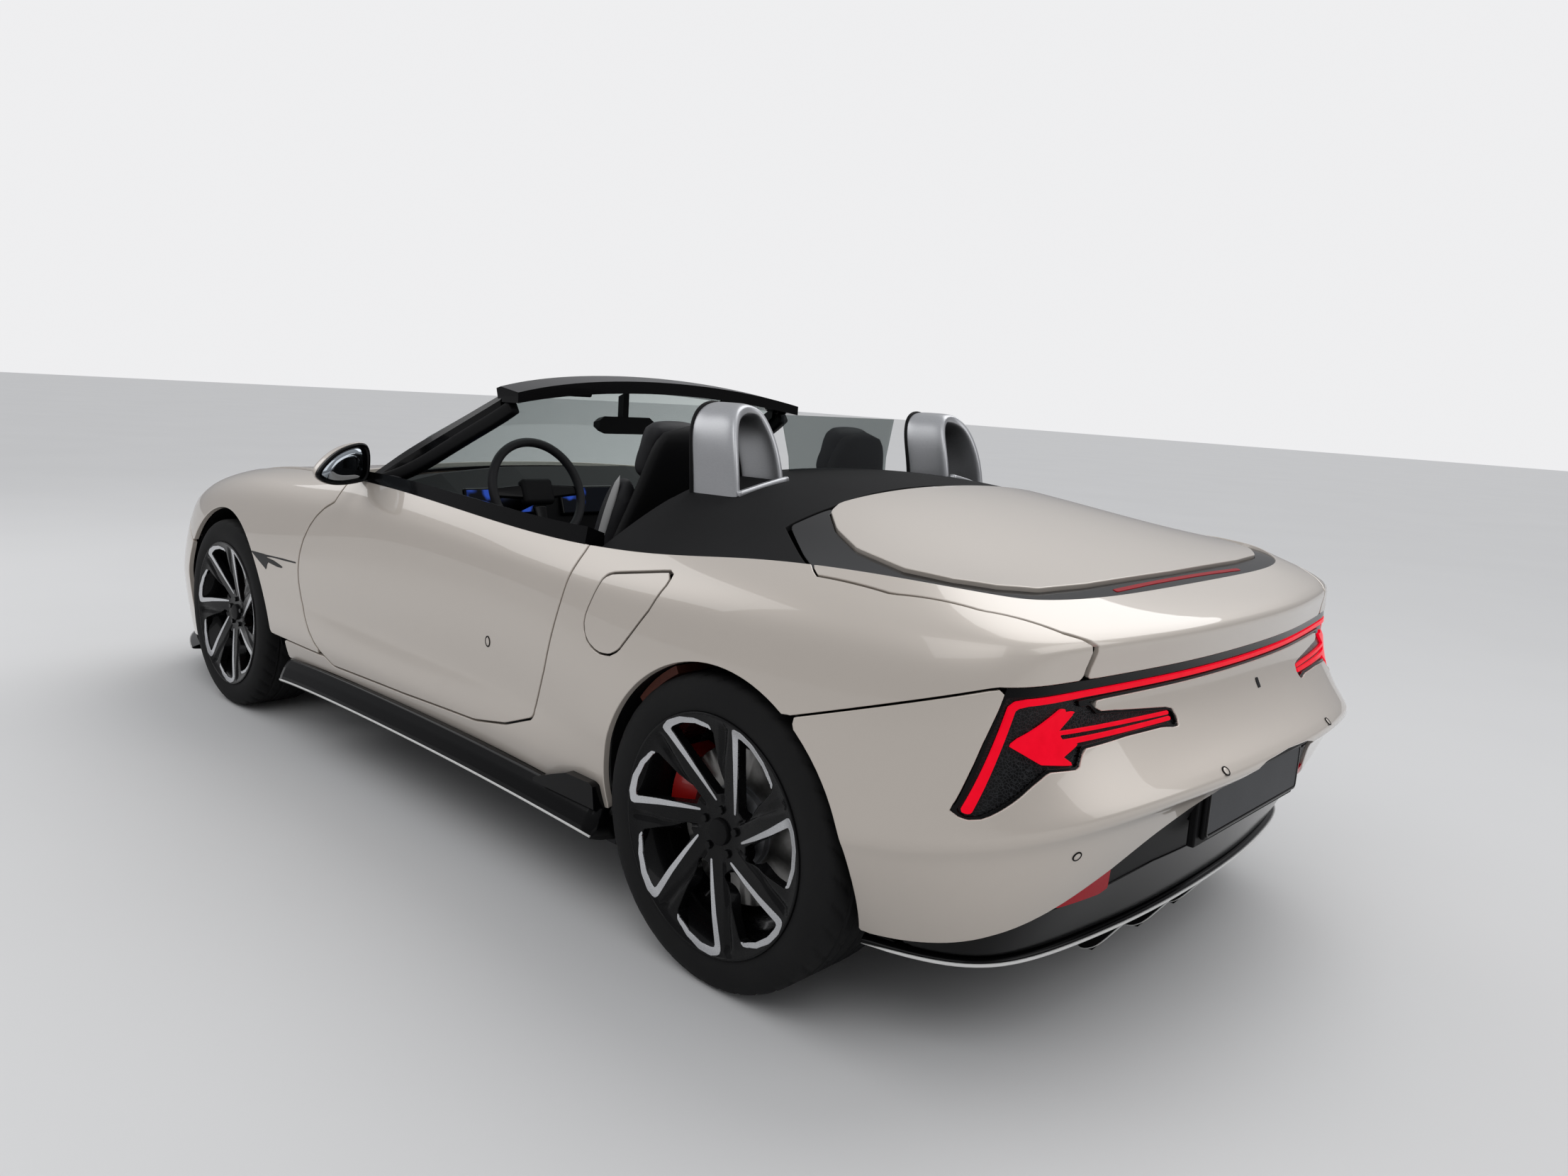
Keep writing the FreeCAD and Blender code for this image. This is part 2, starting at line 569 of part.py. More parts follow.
def build_doors(poles):
    thick = slab(poles, inset(poles, DOOR_T))
    door = thick.common(side_prism(DOOR_OUTLINE, 600, 1100))
    pivot = V(ax(DOOR_PIVOT_D), DOOR_PIVOT_Y, DOOR_PIVOT_Z)
    lug = fuse([Part.makeCylinder(26, 22, pivot - DOOR_AXIS * 44, DOOR_AXIS),
                block(DOOR_PIVOT_D - 24, DOOR_PIVOT_D + 24, 750, 772, 845, DOOR_PIVOT_Z)])
    bore = Part.makeCylinder(DOOR_PIN_R + PIN_CLEAR, 80, pivot - DOOR_AXIS * 80, DOOR_AXIS)
    door = join([door, lug]).cut(bore)
    save("door_left", door)
    save("door_right", mirrored(door))
    outer = spline_surface(poles)
    inner = spline_surface(inset(poles, DOOR_T))
    v1 = outer.bounds()[3]
    sections = []
    for d, lift in BELT_TABLE:
        t = station_at(outer, v1, ax(d))
        p, q = outer.value(t, v1), inner.value(t, v1)
        q = p + (q - p) * 0.8
        sections.append([p + V(0, 0, 0.5), q + V(0, 0, 0.5), q + V(0, 0, 0.6 * lift + 45), p + V(0, -8, lift)])
    for section in sections:
        for k, point in enumerate(section):
            section[k] = V(section[0].x, point.y, point.z)
    belt = loft(sections).cut(lug).cut(Part.makeCylinder(DOOR_PIN_R + 6, 90, pivot - DOOR_AXIS * 80, DOOR_AXIS))
    save("door_belt_left", belt)
    save("door_belt_right", mirrored(belt))
    sections = []
    for y, d_front, d_back, low, high in MIRROR_TABLE:
        mid = (d_front + d_back) / 2
        sections.append([V(ax(d_front - 12), y, low + 10), V(ax(mid), y, low), V(ax(d_back + 6), y, low + 8),
                         V(ax(d_back), y, high - 8), V(ax(mid), y, high), V(ax(d_front), y, (low + high) / 2)])
    foot = block(1768, 1826, 800, 850, 925, 975)
    mirror = largest(join([loft(sections), foot]).cut(belt).cut(door))
    save("mirror_left", mirror)
    save("mirror_right", mirrored(mirror))


DOOR_AXIS = V(0, math.cos(math.radians(DOOR_TILT)), -math.sin(math.radians(DOOR_TILT)))
LID_FOOT_Z = 806.0
LID_SKIN_T = 10.0
LID_FLANGE_STEP = 12.0
BELT_TABLE = ((592, 44), (850, 44), (1150, 42), (1500, 38), (1870, 30))
MIRROR_TABLE = (
    (838, 1840, 1760, 948, 1000),
    (870, 1850, 1742, 922, 1030),
    (920, 1852, 1738, 900, 1036),
    (970, 1845, 1745, 896, 1018),
    (1003, 1828, 1770, 915, 985),
)


def station_at(surface, v, x):
    """Parameter round the body at which the row v passes a place x on the left flank."""
    low, high = surface.bounds()[0], surface.bounds()[1]
    for _ in range(60):
        mid = (low + high) / 2
        if surface.value(mid, v).x < x:
            low = mid
        else:
            high = mid
    return (low + high) / 2


# Wheels

def revolve_y(profile, d, z, y_face, side):
    """Ring from a profile of (distance inward from the tyre's face, radius)."""
    points = [V(ax(d), side * (y_face - s), z + r) for s, r in profile]
    face = Part.Face(Part.makePolygon(points + [points[0]]))
    return face.revolve(V(ax(d), 0, z), V(0, 1, 0), 360)


def build_wheel(name, d, side, dia, width, y_face):
    z, r = dia / 2, dia / 2
    bead = RIM_SEAT_R + SEAT_GAP
    tyre = revolve_y([(14, bead), (10, bead + 12), (0, 0.55 * bead + 0.45 * r), (5, r - 18), (20, r - 4),
                      (42, r), (width - 42, r), (width - 20, r - 4), (width - 5, r - 18),
                      (width, 0.55 * bead + 0.45 * r), (width - 10, bead + 12), (width - 14, bead)],
                     d, z, y_face, side)
    save("tyre_" + name, tyre)
    seat, well = RIM_SEAT_R, RIM_WELL_R
    barrel = revolve_y([(4, RIM_FLANGE_R), (9, RIM_FLANGE_R), (13, seat), (46, seat), (60, well),
                        (150, well), (width - 30, seat), (width - 13, seat), (width - 9, RIM_FLANGE_R),
                        (width - 4, RIM_FLANGE_R), (width - 6, seat - RIM_WALL), (width - 30, seat - RIM_WALL),
                        (150, well - RIM_WALL), (60, well - RIM_WALL), (38, seat - 12), (10, seat - 6)],
                       d, z, y_face, side)
    face = revolve_y([(12, seat - 4), (18, 200), (34, 110), (44, 60), (44, HUB_BORE_R + PIN_CLEAR),
                      (78, HUB_BORE_R + PIN_CLEAR), (78, 62), (64, 110), (46, 200), (38, seat - 4)],
                     d, z, y_face, side)
    windows = []
    for k in range(SPOKE_COUNT):
        turn = 360.0 / SPOKE_COUNT * k
        points = []
        for radius, angle in WINDOW:
            a = math.radians(turn + angle)
            points.append(V(ax(d) + radius * math.cos(a), side * (y_face - 90), z + radius * math.sin(a)))
        windows.append(Part.Face(Part.makePolygon(points + [points[0]])).extrude(V(0, side * 120, 0)))
    face = face.cut(Part.makeCompound(windows))
    bell = revolve_y([(78, HUB_BORE_R + PIN_CLEAR), (78, 62), (92, BELL_R), (DISC_S0, BELL_R), (DISC_S0, DISC_R),
                      (DISC_S0 + DISC_T, DISC_R), (DISC_S0 + DISC_T, BELL_R - 8), (100, BELL_R - 8),
                      (90, HUB_BORE_R + 14), (140, HUB_BORE_R + 14), (140, HUB_BORE_R + PIN_CLEAR)],
                     d, z, y_face, side)
    rim = fuse([barrel, face, bell])
    save("rim_" + name, rim)


WINDOW = ((84, 30), (246, 3), (250, 12), (247, 24), (238, 33), (226, 36), (92, 46))
DISC_S0 = 104.0
PIN_START_S = 50.0
UPRIGHT_S = 146.0


def upright(d, side, dia, y_face, depth):
    """Stub axle and the block behind the brake disc that carries it."""
    z = dia / 2
    y0 = side * (y_face - PIN_START_S)
    y1 = side * (y_face - UPRIGHT_S - depth)
    pin = cyl_y(d, z, HUB_BORE_R, min(y0, y1), max(y0, y1))
    carrier = revolve_y([(UPRIGHT_S, 0), (UPRIGHT_S, 62), (UPRIGHT_S + depth, 50), (UPRIGHT_S + depth, 0)],
                        d, z, y_face, side)
    return fuse([pin, carrier])


def wedge(d, side, dia, y_face, start, sweep):
    """Slice of the space round a hub, between two angles up from straight ahead."""
    z = dia / 2
    a0, a1 = math.radians(start), math.radians(start + sweep)
    reach = 400
    centre = V(ax(d), side * y_face - 300, z)
    face = Part.Face(Part.makePolygon([centre, centre + V(reach * math.cos(a0), 0, reach * math.sin(a0)),
                                       centre + V(reach * math.cos(a1), 0, reach * math.sin(a1)), centre]))
    return face.extrude(V(0, 600, 0))


def caliper(d, side, dia, y_face, start, sweep):
    """Clamp over the edge of the disc."""
    s0, s1 = DISC_S0 - 22, DISC_S0 + DISC_T + 34
    inner_face = DISC_S0 + DISC_T + 4
    ring = revolve_y([(s0, CALIPER_R), (s0, 205), (s0 + 16, 221), (s1 - 10, 221), (s1, 205), (s1, CALIPER_R),
                      (inner_face, CALIPER_R), (inner_face, DISC_R + 5), (DISC_S0 - 4, DISC_R + 5),
                      (DISC_S0 - 4, CALIPER_R)], d, dia / 2, y_face, side)
    return ring.common(wedge(d, side, dia, y_face, start, sweep))


def caliper_bracket(d, side, dia, y_face, start, sweep):
    """Plate from the block of the axle out to the foot of the clamp."""
    s0 = UPRIGHT_S + 6
    plate = revolve_y([(s0, 30), (s0, CALIPER_R - SEAT_GAP), (s0 + 14, CALIPER_R - SEAT_GAP), (s0 + 14, 30)],
                      d, dia / 2, y_face, side)
    return plate.common(wedge(d, side, dia, y_face, start, sweep))


CALIPER_R = 128.0
FRONT_CALIPER = (150.0, 52.0)
REAR_CALIPER = (-12.0, 52.0)


def build_wheels():
    for name, d, side in (("front_left", WHEELBASE, 1), ("front_right", WHEELBASE, -1)):
        build_wheel(name, d, side, TYRE_DIA_FRONT, TYRE_WIDTH_FRONT, TYRE_FACE_Y_FRONT)
    for name, d, side in (("rear_left", 0, 1), ("rear_right", 0, -1)):
        build_wheel(name, d, side, TYRE_DIA_REAR, TYRE_WIDTH_REAR, TYRE_FACE_Y_REAR)

    # Steered knuckles on their kingpins
    z = TYRE_DIA_FRONT / 2
    for name, side in (("left", 1), ("right", -1)):
        place = (WHEELBASE, side, TYRE_DIA_FRONT, TYRE_FACE_Y_FRONT)
        foot = V(ax(WHEELBASE), side * KINGPIN_Y, 0)
        post = Part.makeCylinder(KINGPIN_R, 2 * ARM_RISE + 40, foot + V(0, 0, z - ARM_RISE - 20))
        collar = Part.makeCylinder(24, 2 * ARM_RISE - 40, foot + V(0, 0, z - ARM_RISE + 20))
        save("knuckle_" + name, fuse([upright(*place, 36), post, collar, caliper_bracket(*place, *FRONT_CALIPER)]))
        save("caliper_" + name, caliper(*place, *FRONT_CALIPER))

    # Arms from the front rails to the kingpins
    arms = []
    for rise in (-ARM_RISE, ARM_RISE):
        level = z + rise
        low, high = level - ARM_T / 2, level + ARM_T / 2
        arm = plan_prism([(WHEELBASE + d, y) for d, y in ARM_PLAN], low, high)
        eye = Part.makeCylinder(30, ARM_T, V(ax(WHEELBASE), KINGPIN_Y, low))
        hinge = block(WHEELBASE - 60, WHEELBASE + 60, RAIL_Y + RAIL_W / 2 + SEAT_GAP, 440,
                      min(low, RAIL_Z1 - 20), max(high, RAIL_Z0 + 20))
        bore = Part.makeCylinder(KINGPIN_R + PIN_CLEAR, 200, V(ax(WHEELBASE), KINGPIN_Y, level - 100))
        arms.append(fuse([arm, eye, hinge]).cut(bore))
    save("front_arms", Part.makeCompound(arms + [mirrored(arm) for arm in arms]))

    # Rear stub axles, each with its arm up to the rail and its drive shaft
    hubs, clamps = [], []
    z = TYRE_DIA_REAR / 2
    place = (0, 1, TYRE_DIA_REAR, TYRE_FACE_Y_REAR)
    inner_y = TYRE_FACE_Y_REAR - UPRIGHT_S - 40
    arm = side_prism(((-45, z - 40), (45, z - 40), (40, z + 30), (-40, z + 30)), 560, inner_y + 20)
    foot = block(-70, 70, REAR_RAIL_Y + REAR_RAIL_W / 2 + SEAT_GAP, 570, z - 40, REAR_RAIL_Z0 + 40)
    shaft = cyl_y(0, z, 16, MOTOR_Y + SEAT_GAP, 580)
    hub = fuse([upright(*place, 40), arm, foot, shaft, caliper_bracket(*place, *REAR_CALIPER)])
    save("rear_hubs", both(hub))
    save("rear_calipers", both(caliper(*place, *REAR_CALIPER)))


# Front arms in plan, ahead of the axle and across the car
ARM_PLAN = ((-28, KINGPIN_Y), (28, KINGPIN_Y), (38, 560), (90, 430), (60, 410), (-60, 410), (-90, 430), (-38, 560))
ARM_T = 24.0


# Structure under the skin

FLOOR_Z = 262.0
FLOOR_T = 22.0
TUNNEL_Z = 400.0
SILL_Y = 868.0
SILL_Z = (178.0, 318.0)
REAR_WALL_D = 400.0
FIREWALL_D = 2160.0
WALL_T = 20.0
POST_Y = (700.0, 740.0)
POST_TOP_Z = 860.0
RAIL_Y, RAIL_W = 360.0, 90.0
RAIL_Z0, RAIL_Z1 = 300.0, 420.0
REAR_RAIL_Y, REAR_RAIL_W = 480.0, 80.0
REAR_RAIL_Z0, REAR_RAIL_Z1 = 370.0, 430.0
BOOT_FLOOR_Z = 450.0
BATTERY_Z = 185.0
MOTOR_Y = 270.0
LINER_T = 5.0
LINER_FOOT_Z = 305.0

# Boxes of the tub, as d, y and z from and to; those of the second table have a mirror image
TUB_MIDDLE = (
    (REAR_WALL_D, FIREWALL_D + WALL_T, -790, 790, FLOOR_Z, FLOOR_Z + FLOOR_T),
    (FIREWALL_D, FIREWALL_D + WALL_T, -760, 760, FLOOR_Z, POST_TOP_Z),
    (REAR_WALL_D, REAR_WALL_D + WALL_T, -800, 800, FLOOR_Z, 1100),
    (REAR_WALL_D, FIREWALL_D, -75, 75, FLOOR_Z, TUNNEL_Z),
    (3230, 3270, -850, 850, 300, 560),
    (3230, 3700, -25, 25, 440, 500),
    (-560, -520, -940, 940, 480, 740),
    (-900, -540, -25, 25, 600, 650),
    (-560, REAR_WALL_D, -560, 560, BOOT_FLOOR_Z - 20, BOOT_FLOOR_Z),
)
TUB_LEFT = (
    (REAR_WALL_D, 2150, 740, SILL_Y, SILL_Z[0], SILL_Z[1]),
    (1930, FIREWALL_D + WALL_T, POST_Y[0], POST_Y[1], FLOOR_Z, POST_TOP_Z),
    (2080, 2240, POST_Y[0], 960, 420, 480),
    (2080, 2240, POST_Y[0], 950, 800, 850),
    (2170, 3240, RAIL_Y - RAIL_W / 2, RAIL_Y + RAIL_W / 2, RAIL_Z0, RAIL_Z1),
    (-700, REAR_WALL_D + 10, REAR_RAIL_Y - REAR_RAIL_W / 2, REAR_RAIL_Y + REAR_RAIL_W / 2, REAR_RAIL_Z0,
     REAR_RAIL_Z1),
    (-780, -540, 470, 500, 370, 400),
    (3260, 3570, 650, 680, 530, 660),
    (REAR_WALL_D, 460, 700, 970, 520, 560),
    (REAR_WALL_D, 545, 730, 770, 800, 840),
    (510, 545, 730, 950, 800, 840),
)


def mirrored_box(box):
    d0, d1, y0, y1, z0, z1 = box
    return (d0, d1, -y1, -y0, z0, z1)


def build_structure(poles):
    outside = both(slab(inset(poles, -80.0), inset(poles, PANEL_T + SEAT_GAP)))
    under_deck = height_slab(DECK_D, DECK_Y, DECK_Z, 200.0, 200.0 + COVER_DROP + COVER_T + SEAT_GAP)
    boxes = [block(*box) for box in TUB_MIDDLE]
    for box in TUB_LEFT:
        boxes += [block(*box), block(*mirrored_box(box))]
    tub = largest(join(boxes).cut(outside).cut(under_deck))

    # Brackets: door hinge arms with their pins, and forks for the bonnet
    pivot = V(ax(DOOR_PIVOT_D), DOOR_PIVOT_Y, DOOR_PIVOT_Z)
    arm = side_prism(((1744, 905), (1744, 950), (1796, 952), (1940, 858), (1990, 858), (1990, 790), (1930, 790)),
                     722, 742)
    pin = Part.makeCylinder(DOOR_PIN_R, 56, pivot - DOOR_AXIS * 74, DOOR_AXIS)
    d, y, z = BONNET_PIN
    cheek = ((d - 14, z - 14), (d - 14, z + 8), (d + 14, z + 8), (FIREWALL_D + WALL_T, POST_TOP_Z),
             (FIREWALL_D + WALL_T, POST_TOP_Z - 50), (FIREWALL_D, POST_TOP_Z - 50))
    fork = [side_prism(cheek, y - 18, y - 10), side_prism(cheek, y + 10, y + 18),
            cyl_y(d, z, BONNET_PIN_R, y - 18, y + 18)]
    left = [arm, pin] + fork
    tub = join([tub] + left + [mirrored(shape) for shape in left])
    save("floor_tub", tub)
    battery = block(460, 2060, -690, 690, BATTERY_Z, FLOOR_Z)
    motor = block(-230, 150, -MOTOR_Y, MOTOR_Y, 190, BOOT_FLOOR_Z - 20)
    save("drive_blocks", Part.makeCompound([battery, motor]))

    # Linings of the wheel arches
    liners = []
    for d, dia, radius, y_in, window in ((WHEELBASE, TYRE_DIA_FRONT, ARCH_R_FRONT, ARCH_INNER_Y, 130),
                                         (0, TYRE_DIA_REAR, ARCH_R_REAR, ARCH_INNER_Y_REAR, 110)):
        z = dia / 2
        radius += 2
        drum = cyl_y(d, z, radius + LINER_T, y_in - LINER_T, 970).cut(cyl_y(d, z, radius, y_in, 1100))
        drum = drum.cut(block(d - 500, d + 500, 0, 1100, -200, LINER_FOOT_Z))
        drum = drum.cut(block(d - window, d + window, y_in - 50, y_in + 50, 100, z + 220))
        liners.append(largest(drum.cut(outside)))
    save("arch_liners", Part.makeCompound(liners + [mirrored(liner) for liner in liners]))


def build_interior():
    seats = []
    for side in (1, -1):
        seats.append(side_prism(SEAT_SIDE, side * SEAT_Y - SEAT_W / 2, side * SEAT_Y + SEAT_W / 2))
    save("seats", Part.makeCompound(seats))
    low = TUNNEL_Z + SEAT_GAP
    console = side_prism(((860, low), (1860, low), (1860, 680), (1620, 690), (1300, 600), (860, 600)), -115, 115)
    save("centre_console", console)
    sections = []
    for y, front, drop in DASH_TABLE:
        outline_points = ((1640, 700), (1800, 640), (1900, 640), (front, 700), (front, 930 - drop),
                          (1960, 965 - drop), (1820, 982 - drop), (1680, 905 - drop / 2))
        sections.append([V(ax(d), y, z) for d, z in outline_points])
    dash = loft(sections, ruled=True)
    rake = math.radians(WHEEL_RAKE)
    hub = V(ax(WHEEL_HUB_D), WHEEL_HUB_Y, WHEEL_HUB_Z)
    to_driver = V(-math.cos(rake), 0, math.sin(rake))
    ring = Part.makeTorus(166, 15, hub, to_driver)
    boss = Part.makeCylinder(48, 40, hub - to_driver * 34, to_driver)
    bore = Part.makeCylinder(12 + PIN_CLEAR, 30, hub - to_driver * 34.5, to_driver)
    across = V(0, 1, 0)
    down = to_driver.cross(across)
    spokes = []
    for direction in (across, across * -1, down if down.z < 0 else down * -1):
        spokes.append(Part.makeCylinder(11, 130, hub + direction * 30 - to_driver * 8, direction))
    save("steering_wheel", fuse([ring, boss] + spokes).cut(bore))
    spindle = Part.makeCylinder(12, 42, hub - to_driver * 48, to_driver)
    tube = Part.makeCylinder(34, 240, hub - to_driver * 280, to_driver)
    save("steering_column", largest(fuse([spindle, tube]).cut(dash)))
    dash = largest(dash.cut(console))

    # Hoods behind the seats, with the blocker between them
    on_cover = height_slab(DECK_D, DECK_Y, DECK_Z, -COVER_DROP + SEAT_GAP, 300.0)
    side_shape = side_prism(HOOP_SIDE, -600, 600)
    outer = rear_prism(HOOP_OUTER, 300, 760)
    hoop = largest(outer.cut(rear_prism(HOOP_HOLE, 200, 860)).common(side_shape).cut(on_cover))
    save("roll_hoops", both(hoop))
    half = [(y - SEAT_GAP, z) for y, z in BLOCKER_EDGE]
    shape = half + [(-y, z) for y, z in reversed(half)]
    blocker = rear_prism(shape, 490, 560).common(side_prism(((498, 1000), (506, 1000), (520, 1240), (512, 1240)),
                                                            -300, 300)).cut(on_cover)
    save("wind_blocker", largest(blocker))
    return dash


SEAT_Y = 385.0
SEAT_W = 480.0
SEAT_SIDE = ((900, FLOOR_Z + FLOOR_T + SEAT_GAP), (1460, FLOOR_Z + FLOOR_T + SEAT_GAP), (1500, 330), (1500, 440),
             (1440, 480), (1010, 425), (965, 470), (900, 800), (870, 1100), (830, 1200), (800, 1210), (745, 1208),
             (722, 1150), (760, 800), (790, 500), (850, 330))
# Dashboard: y, front edge and drop of its top
DASH_TABLE = ((-699.7, 1985, 62), (-540, 2015, 28), (-250, 2090, 4), (250, 2090, 4), (540, 2015, 28),
              (699.7, 1985, 62))
HOOP_SIDE = ((345, 960), (700, 960), (690, 1080), (665, 1190), (625, 1250), (560, 1268), (500, 1250), (420, 1160))
HOOP_OUTER = ((200, 940), (565, 940), (560, 1040), (520, 1150), (480, 1235), (430, 1272), (290, 1272), (250, 1240),
              (215, 1120))
HOOP_HOLE = ((285, 900), (300, 1140), (330, 1225), (400, 1225), (440, 1180), (470, 1080), (480, 900))
BLOCKER_EDGE = ((205.0, 1000), (215, 1120), (248.8, 1236))


def build_screen(cowl, dash):
    # A pillars and header: one bent frame
    sections = []
    for d, y, top, foot in PILLAR_TABLE:
        sections.append([V(ax(d), y, foot), V(ax(d), y + 3, (top + foot) / 2), V(ax(d), y - 10, top),
                         V(ax(d), y - 40, top - 3), V(ax(d), y - 46, foot)])
    left = loft(sections)
    sections = []
    for y, d, z, width, height in HEADER_TABLE:
        sections.append([V(ax(d) + 10, y, z - height), V(ax(d) + 22, y, z - 6), V(ax(d), y, z),
                         V(ax(d - width), y, z - 14), V(ax(d - width), y, z - height)])
    header = loft(sections)
    under = block(1800, 2300, -900, 900, 700, POST_TOP_Z + SEAT_GAP)
    frame = largest(join([left, mirrored(left), header]).cut(under))
    save("screen_frame", frame)
    cowl = largest(cowl.cut(frame))
    save("cowl_panel", cowl)
    save("dashboard", largest(dash.cut(frame)))
    glass = []
    through = V(4.0, 0, 3.0)
    for (d0, y0, z0), (d1, y1, z1) in GLASS_TABLE:
        a, b = V(ax(d0), y0, z0), V(ax(d1), y1, z1)
        mid = (a + b) * 0.5 + through * 5.5
        glass.append([a, mid, b, b - through, mid - through, a - through])
    on_cowl = height_slab(HOOD_D, HOOD_Y, HOOD_Z, -COWL_DROP + SEAT_GAP, 150.0)
    glass = largest(loft(glass).cut(frame).cut(on_cowl))
    save("windscreen", glass)
    body = loft([[V(ax(1500), y, 1118 + e), V(ax(1500), y, 1178 - e), V(ax(1536), y, 1170 - e),
                  V(ax(1536), y, 1126 + e)] for y, e in ((-120, 14), (-100, 0), (100, 0), (120, 14))], ruled=True)
    stalk = min(block(1510, 1540, -12, 12, 1140, 1300).cut(glass).Solids, key=lambda piece: piece.BoundBox.ZMin)
    save("inner_mirror", fuse([body, stalk]))


# A pillar sections: d, y of the outer face, heights of top and foot
PILLAR_TABLE = (
    (2085, 742, 880, POST_TOP_Z + SEAT_GAP),
    (1975, 736, 925, POST_TOP_Z + SEAT_GAP),
    (1900, 724, 965, 905),
    (1785, 703, 1028, 970),
    (1600, 664, 1120, 1068),
    (1440, 632, 1197, 1150),
    (1345, 612, 1243, 1200),
)
# Header sections: y, d and z of its front edge, width and height
HEADER_TABLE = (
    (612, 1350, 1262, 96, 46),
    (400, 1398, 1296, 108, 52),
    (0, 1425, 1318, 112, 54),
    (-400, 1398, 1296, 108, 52),
    (-612, 1350, 1262, 96, 46),
)
# Glass: foot and head of each upright section
GLASS_TABLE = (
    ((1990, 714, 900), (1376, 590, 1236)),
    ((2105, 420, 930), (1420, 380, 1272)),
    ((2165, 0, 942), (1448, 0, 1290)),
    ((2105, -420, 930), (1420, -380, 1272)),
    ((1990, -714, 900), (1376, -590, 1236)),
)


def build_trim():
    sections = []
    inner = SILL_Y + SEAT_GAP
    for d, y, z_top in SKIRT_TABLE:
        sections.append([V(ax(d), inner, z_top), V(ax(d), y - 36, z_top), V(ax(d), y - 10, z_top - 40),
                         V(ax(d), y + 4, 236), V(ax(d), y + 2, 226), V(ax(d), inner, 206)])
    skirt = loft(sections)
    save("side_skirts", both(skirt))
    plate = fuse([block(-796, -782, -262, 262, 427, 543), block(-782, PLATE_POCKET[1] - SEAT_GAP, -284, 284, 406, 561)])
    for side in (1, -1):
        plate = plate.cut(Part.makeCylinder(PLATE_HOLE_R, 60, V(ax(-820), side * PLATE_HOLE_Y, PLATE_HOLE_Z),
                                            V(1, 0, 0)))
    save("plate_holder", plate)


PLATE_HOLE_R = 3.0
PLATE_HOLE_Y = 150.0
PLATE_HOLE_Z = 500.0
SKIRT_TABLE = ((392, 950, 288), (800, 938, 298), (1400, 932, 298), (2150, 948, 284))


def main():
    os.makedirs("parts", exist_ok=True)
    poles = body_poles()
    cowl = build_outer_body(poles)
    build_doors(poles)
    build_wheels()
    build_structure(poles)
    dash = build_interior()
    build_screen(cowl, dash)
    build_trim()


main()
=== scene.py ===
"""Looks of a two-seat electric roadster convertible, roof stowed, built round its fixed frame."""
import math

import bpy
import numpy as np
from mathutils import Matrix, Vector


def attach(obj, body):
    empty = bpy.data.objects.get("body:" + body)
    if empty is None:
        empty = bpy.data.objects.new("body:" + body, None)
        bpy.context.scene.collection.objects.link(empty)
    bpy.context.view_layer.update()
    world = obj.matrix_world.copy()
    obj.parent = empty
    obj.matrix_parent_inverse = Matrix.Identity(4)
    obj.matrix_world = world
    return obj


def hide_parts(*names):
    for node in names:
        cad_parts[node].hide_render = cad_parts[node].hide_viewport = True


bl_info = {
    "name": "Roadster Convertible",
    "version": (1, 0, 0),
    "blender": (4, 5, 0),
    "location": "View3D > Sidebar > Roadster",
    "description": "Body panels, wheels, lamps and cabin of a two-seat convertible",
    "category": "Object",
}

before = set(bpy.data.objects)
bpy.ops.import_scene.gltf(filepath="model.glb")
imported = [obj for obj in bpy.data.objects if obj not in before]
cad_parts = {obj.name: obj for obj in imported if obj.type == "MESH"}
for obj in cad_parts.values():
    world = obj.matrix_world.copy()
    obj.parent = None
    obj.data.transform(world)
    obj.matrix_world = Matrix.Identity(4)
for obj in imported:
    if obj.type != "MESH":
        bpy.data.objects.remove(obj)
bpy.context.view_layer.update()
MM = 0.001
REAR_AXLE_X = -1.4125
WHEELBASE = 2.690
ARCH_REAR = (0.0, 350.0, 378.0)
ARCH_FRONT = (2690.0, 352.0, 398.0)
LAMP_RECESS = 8.0

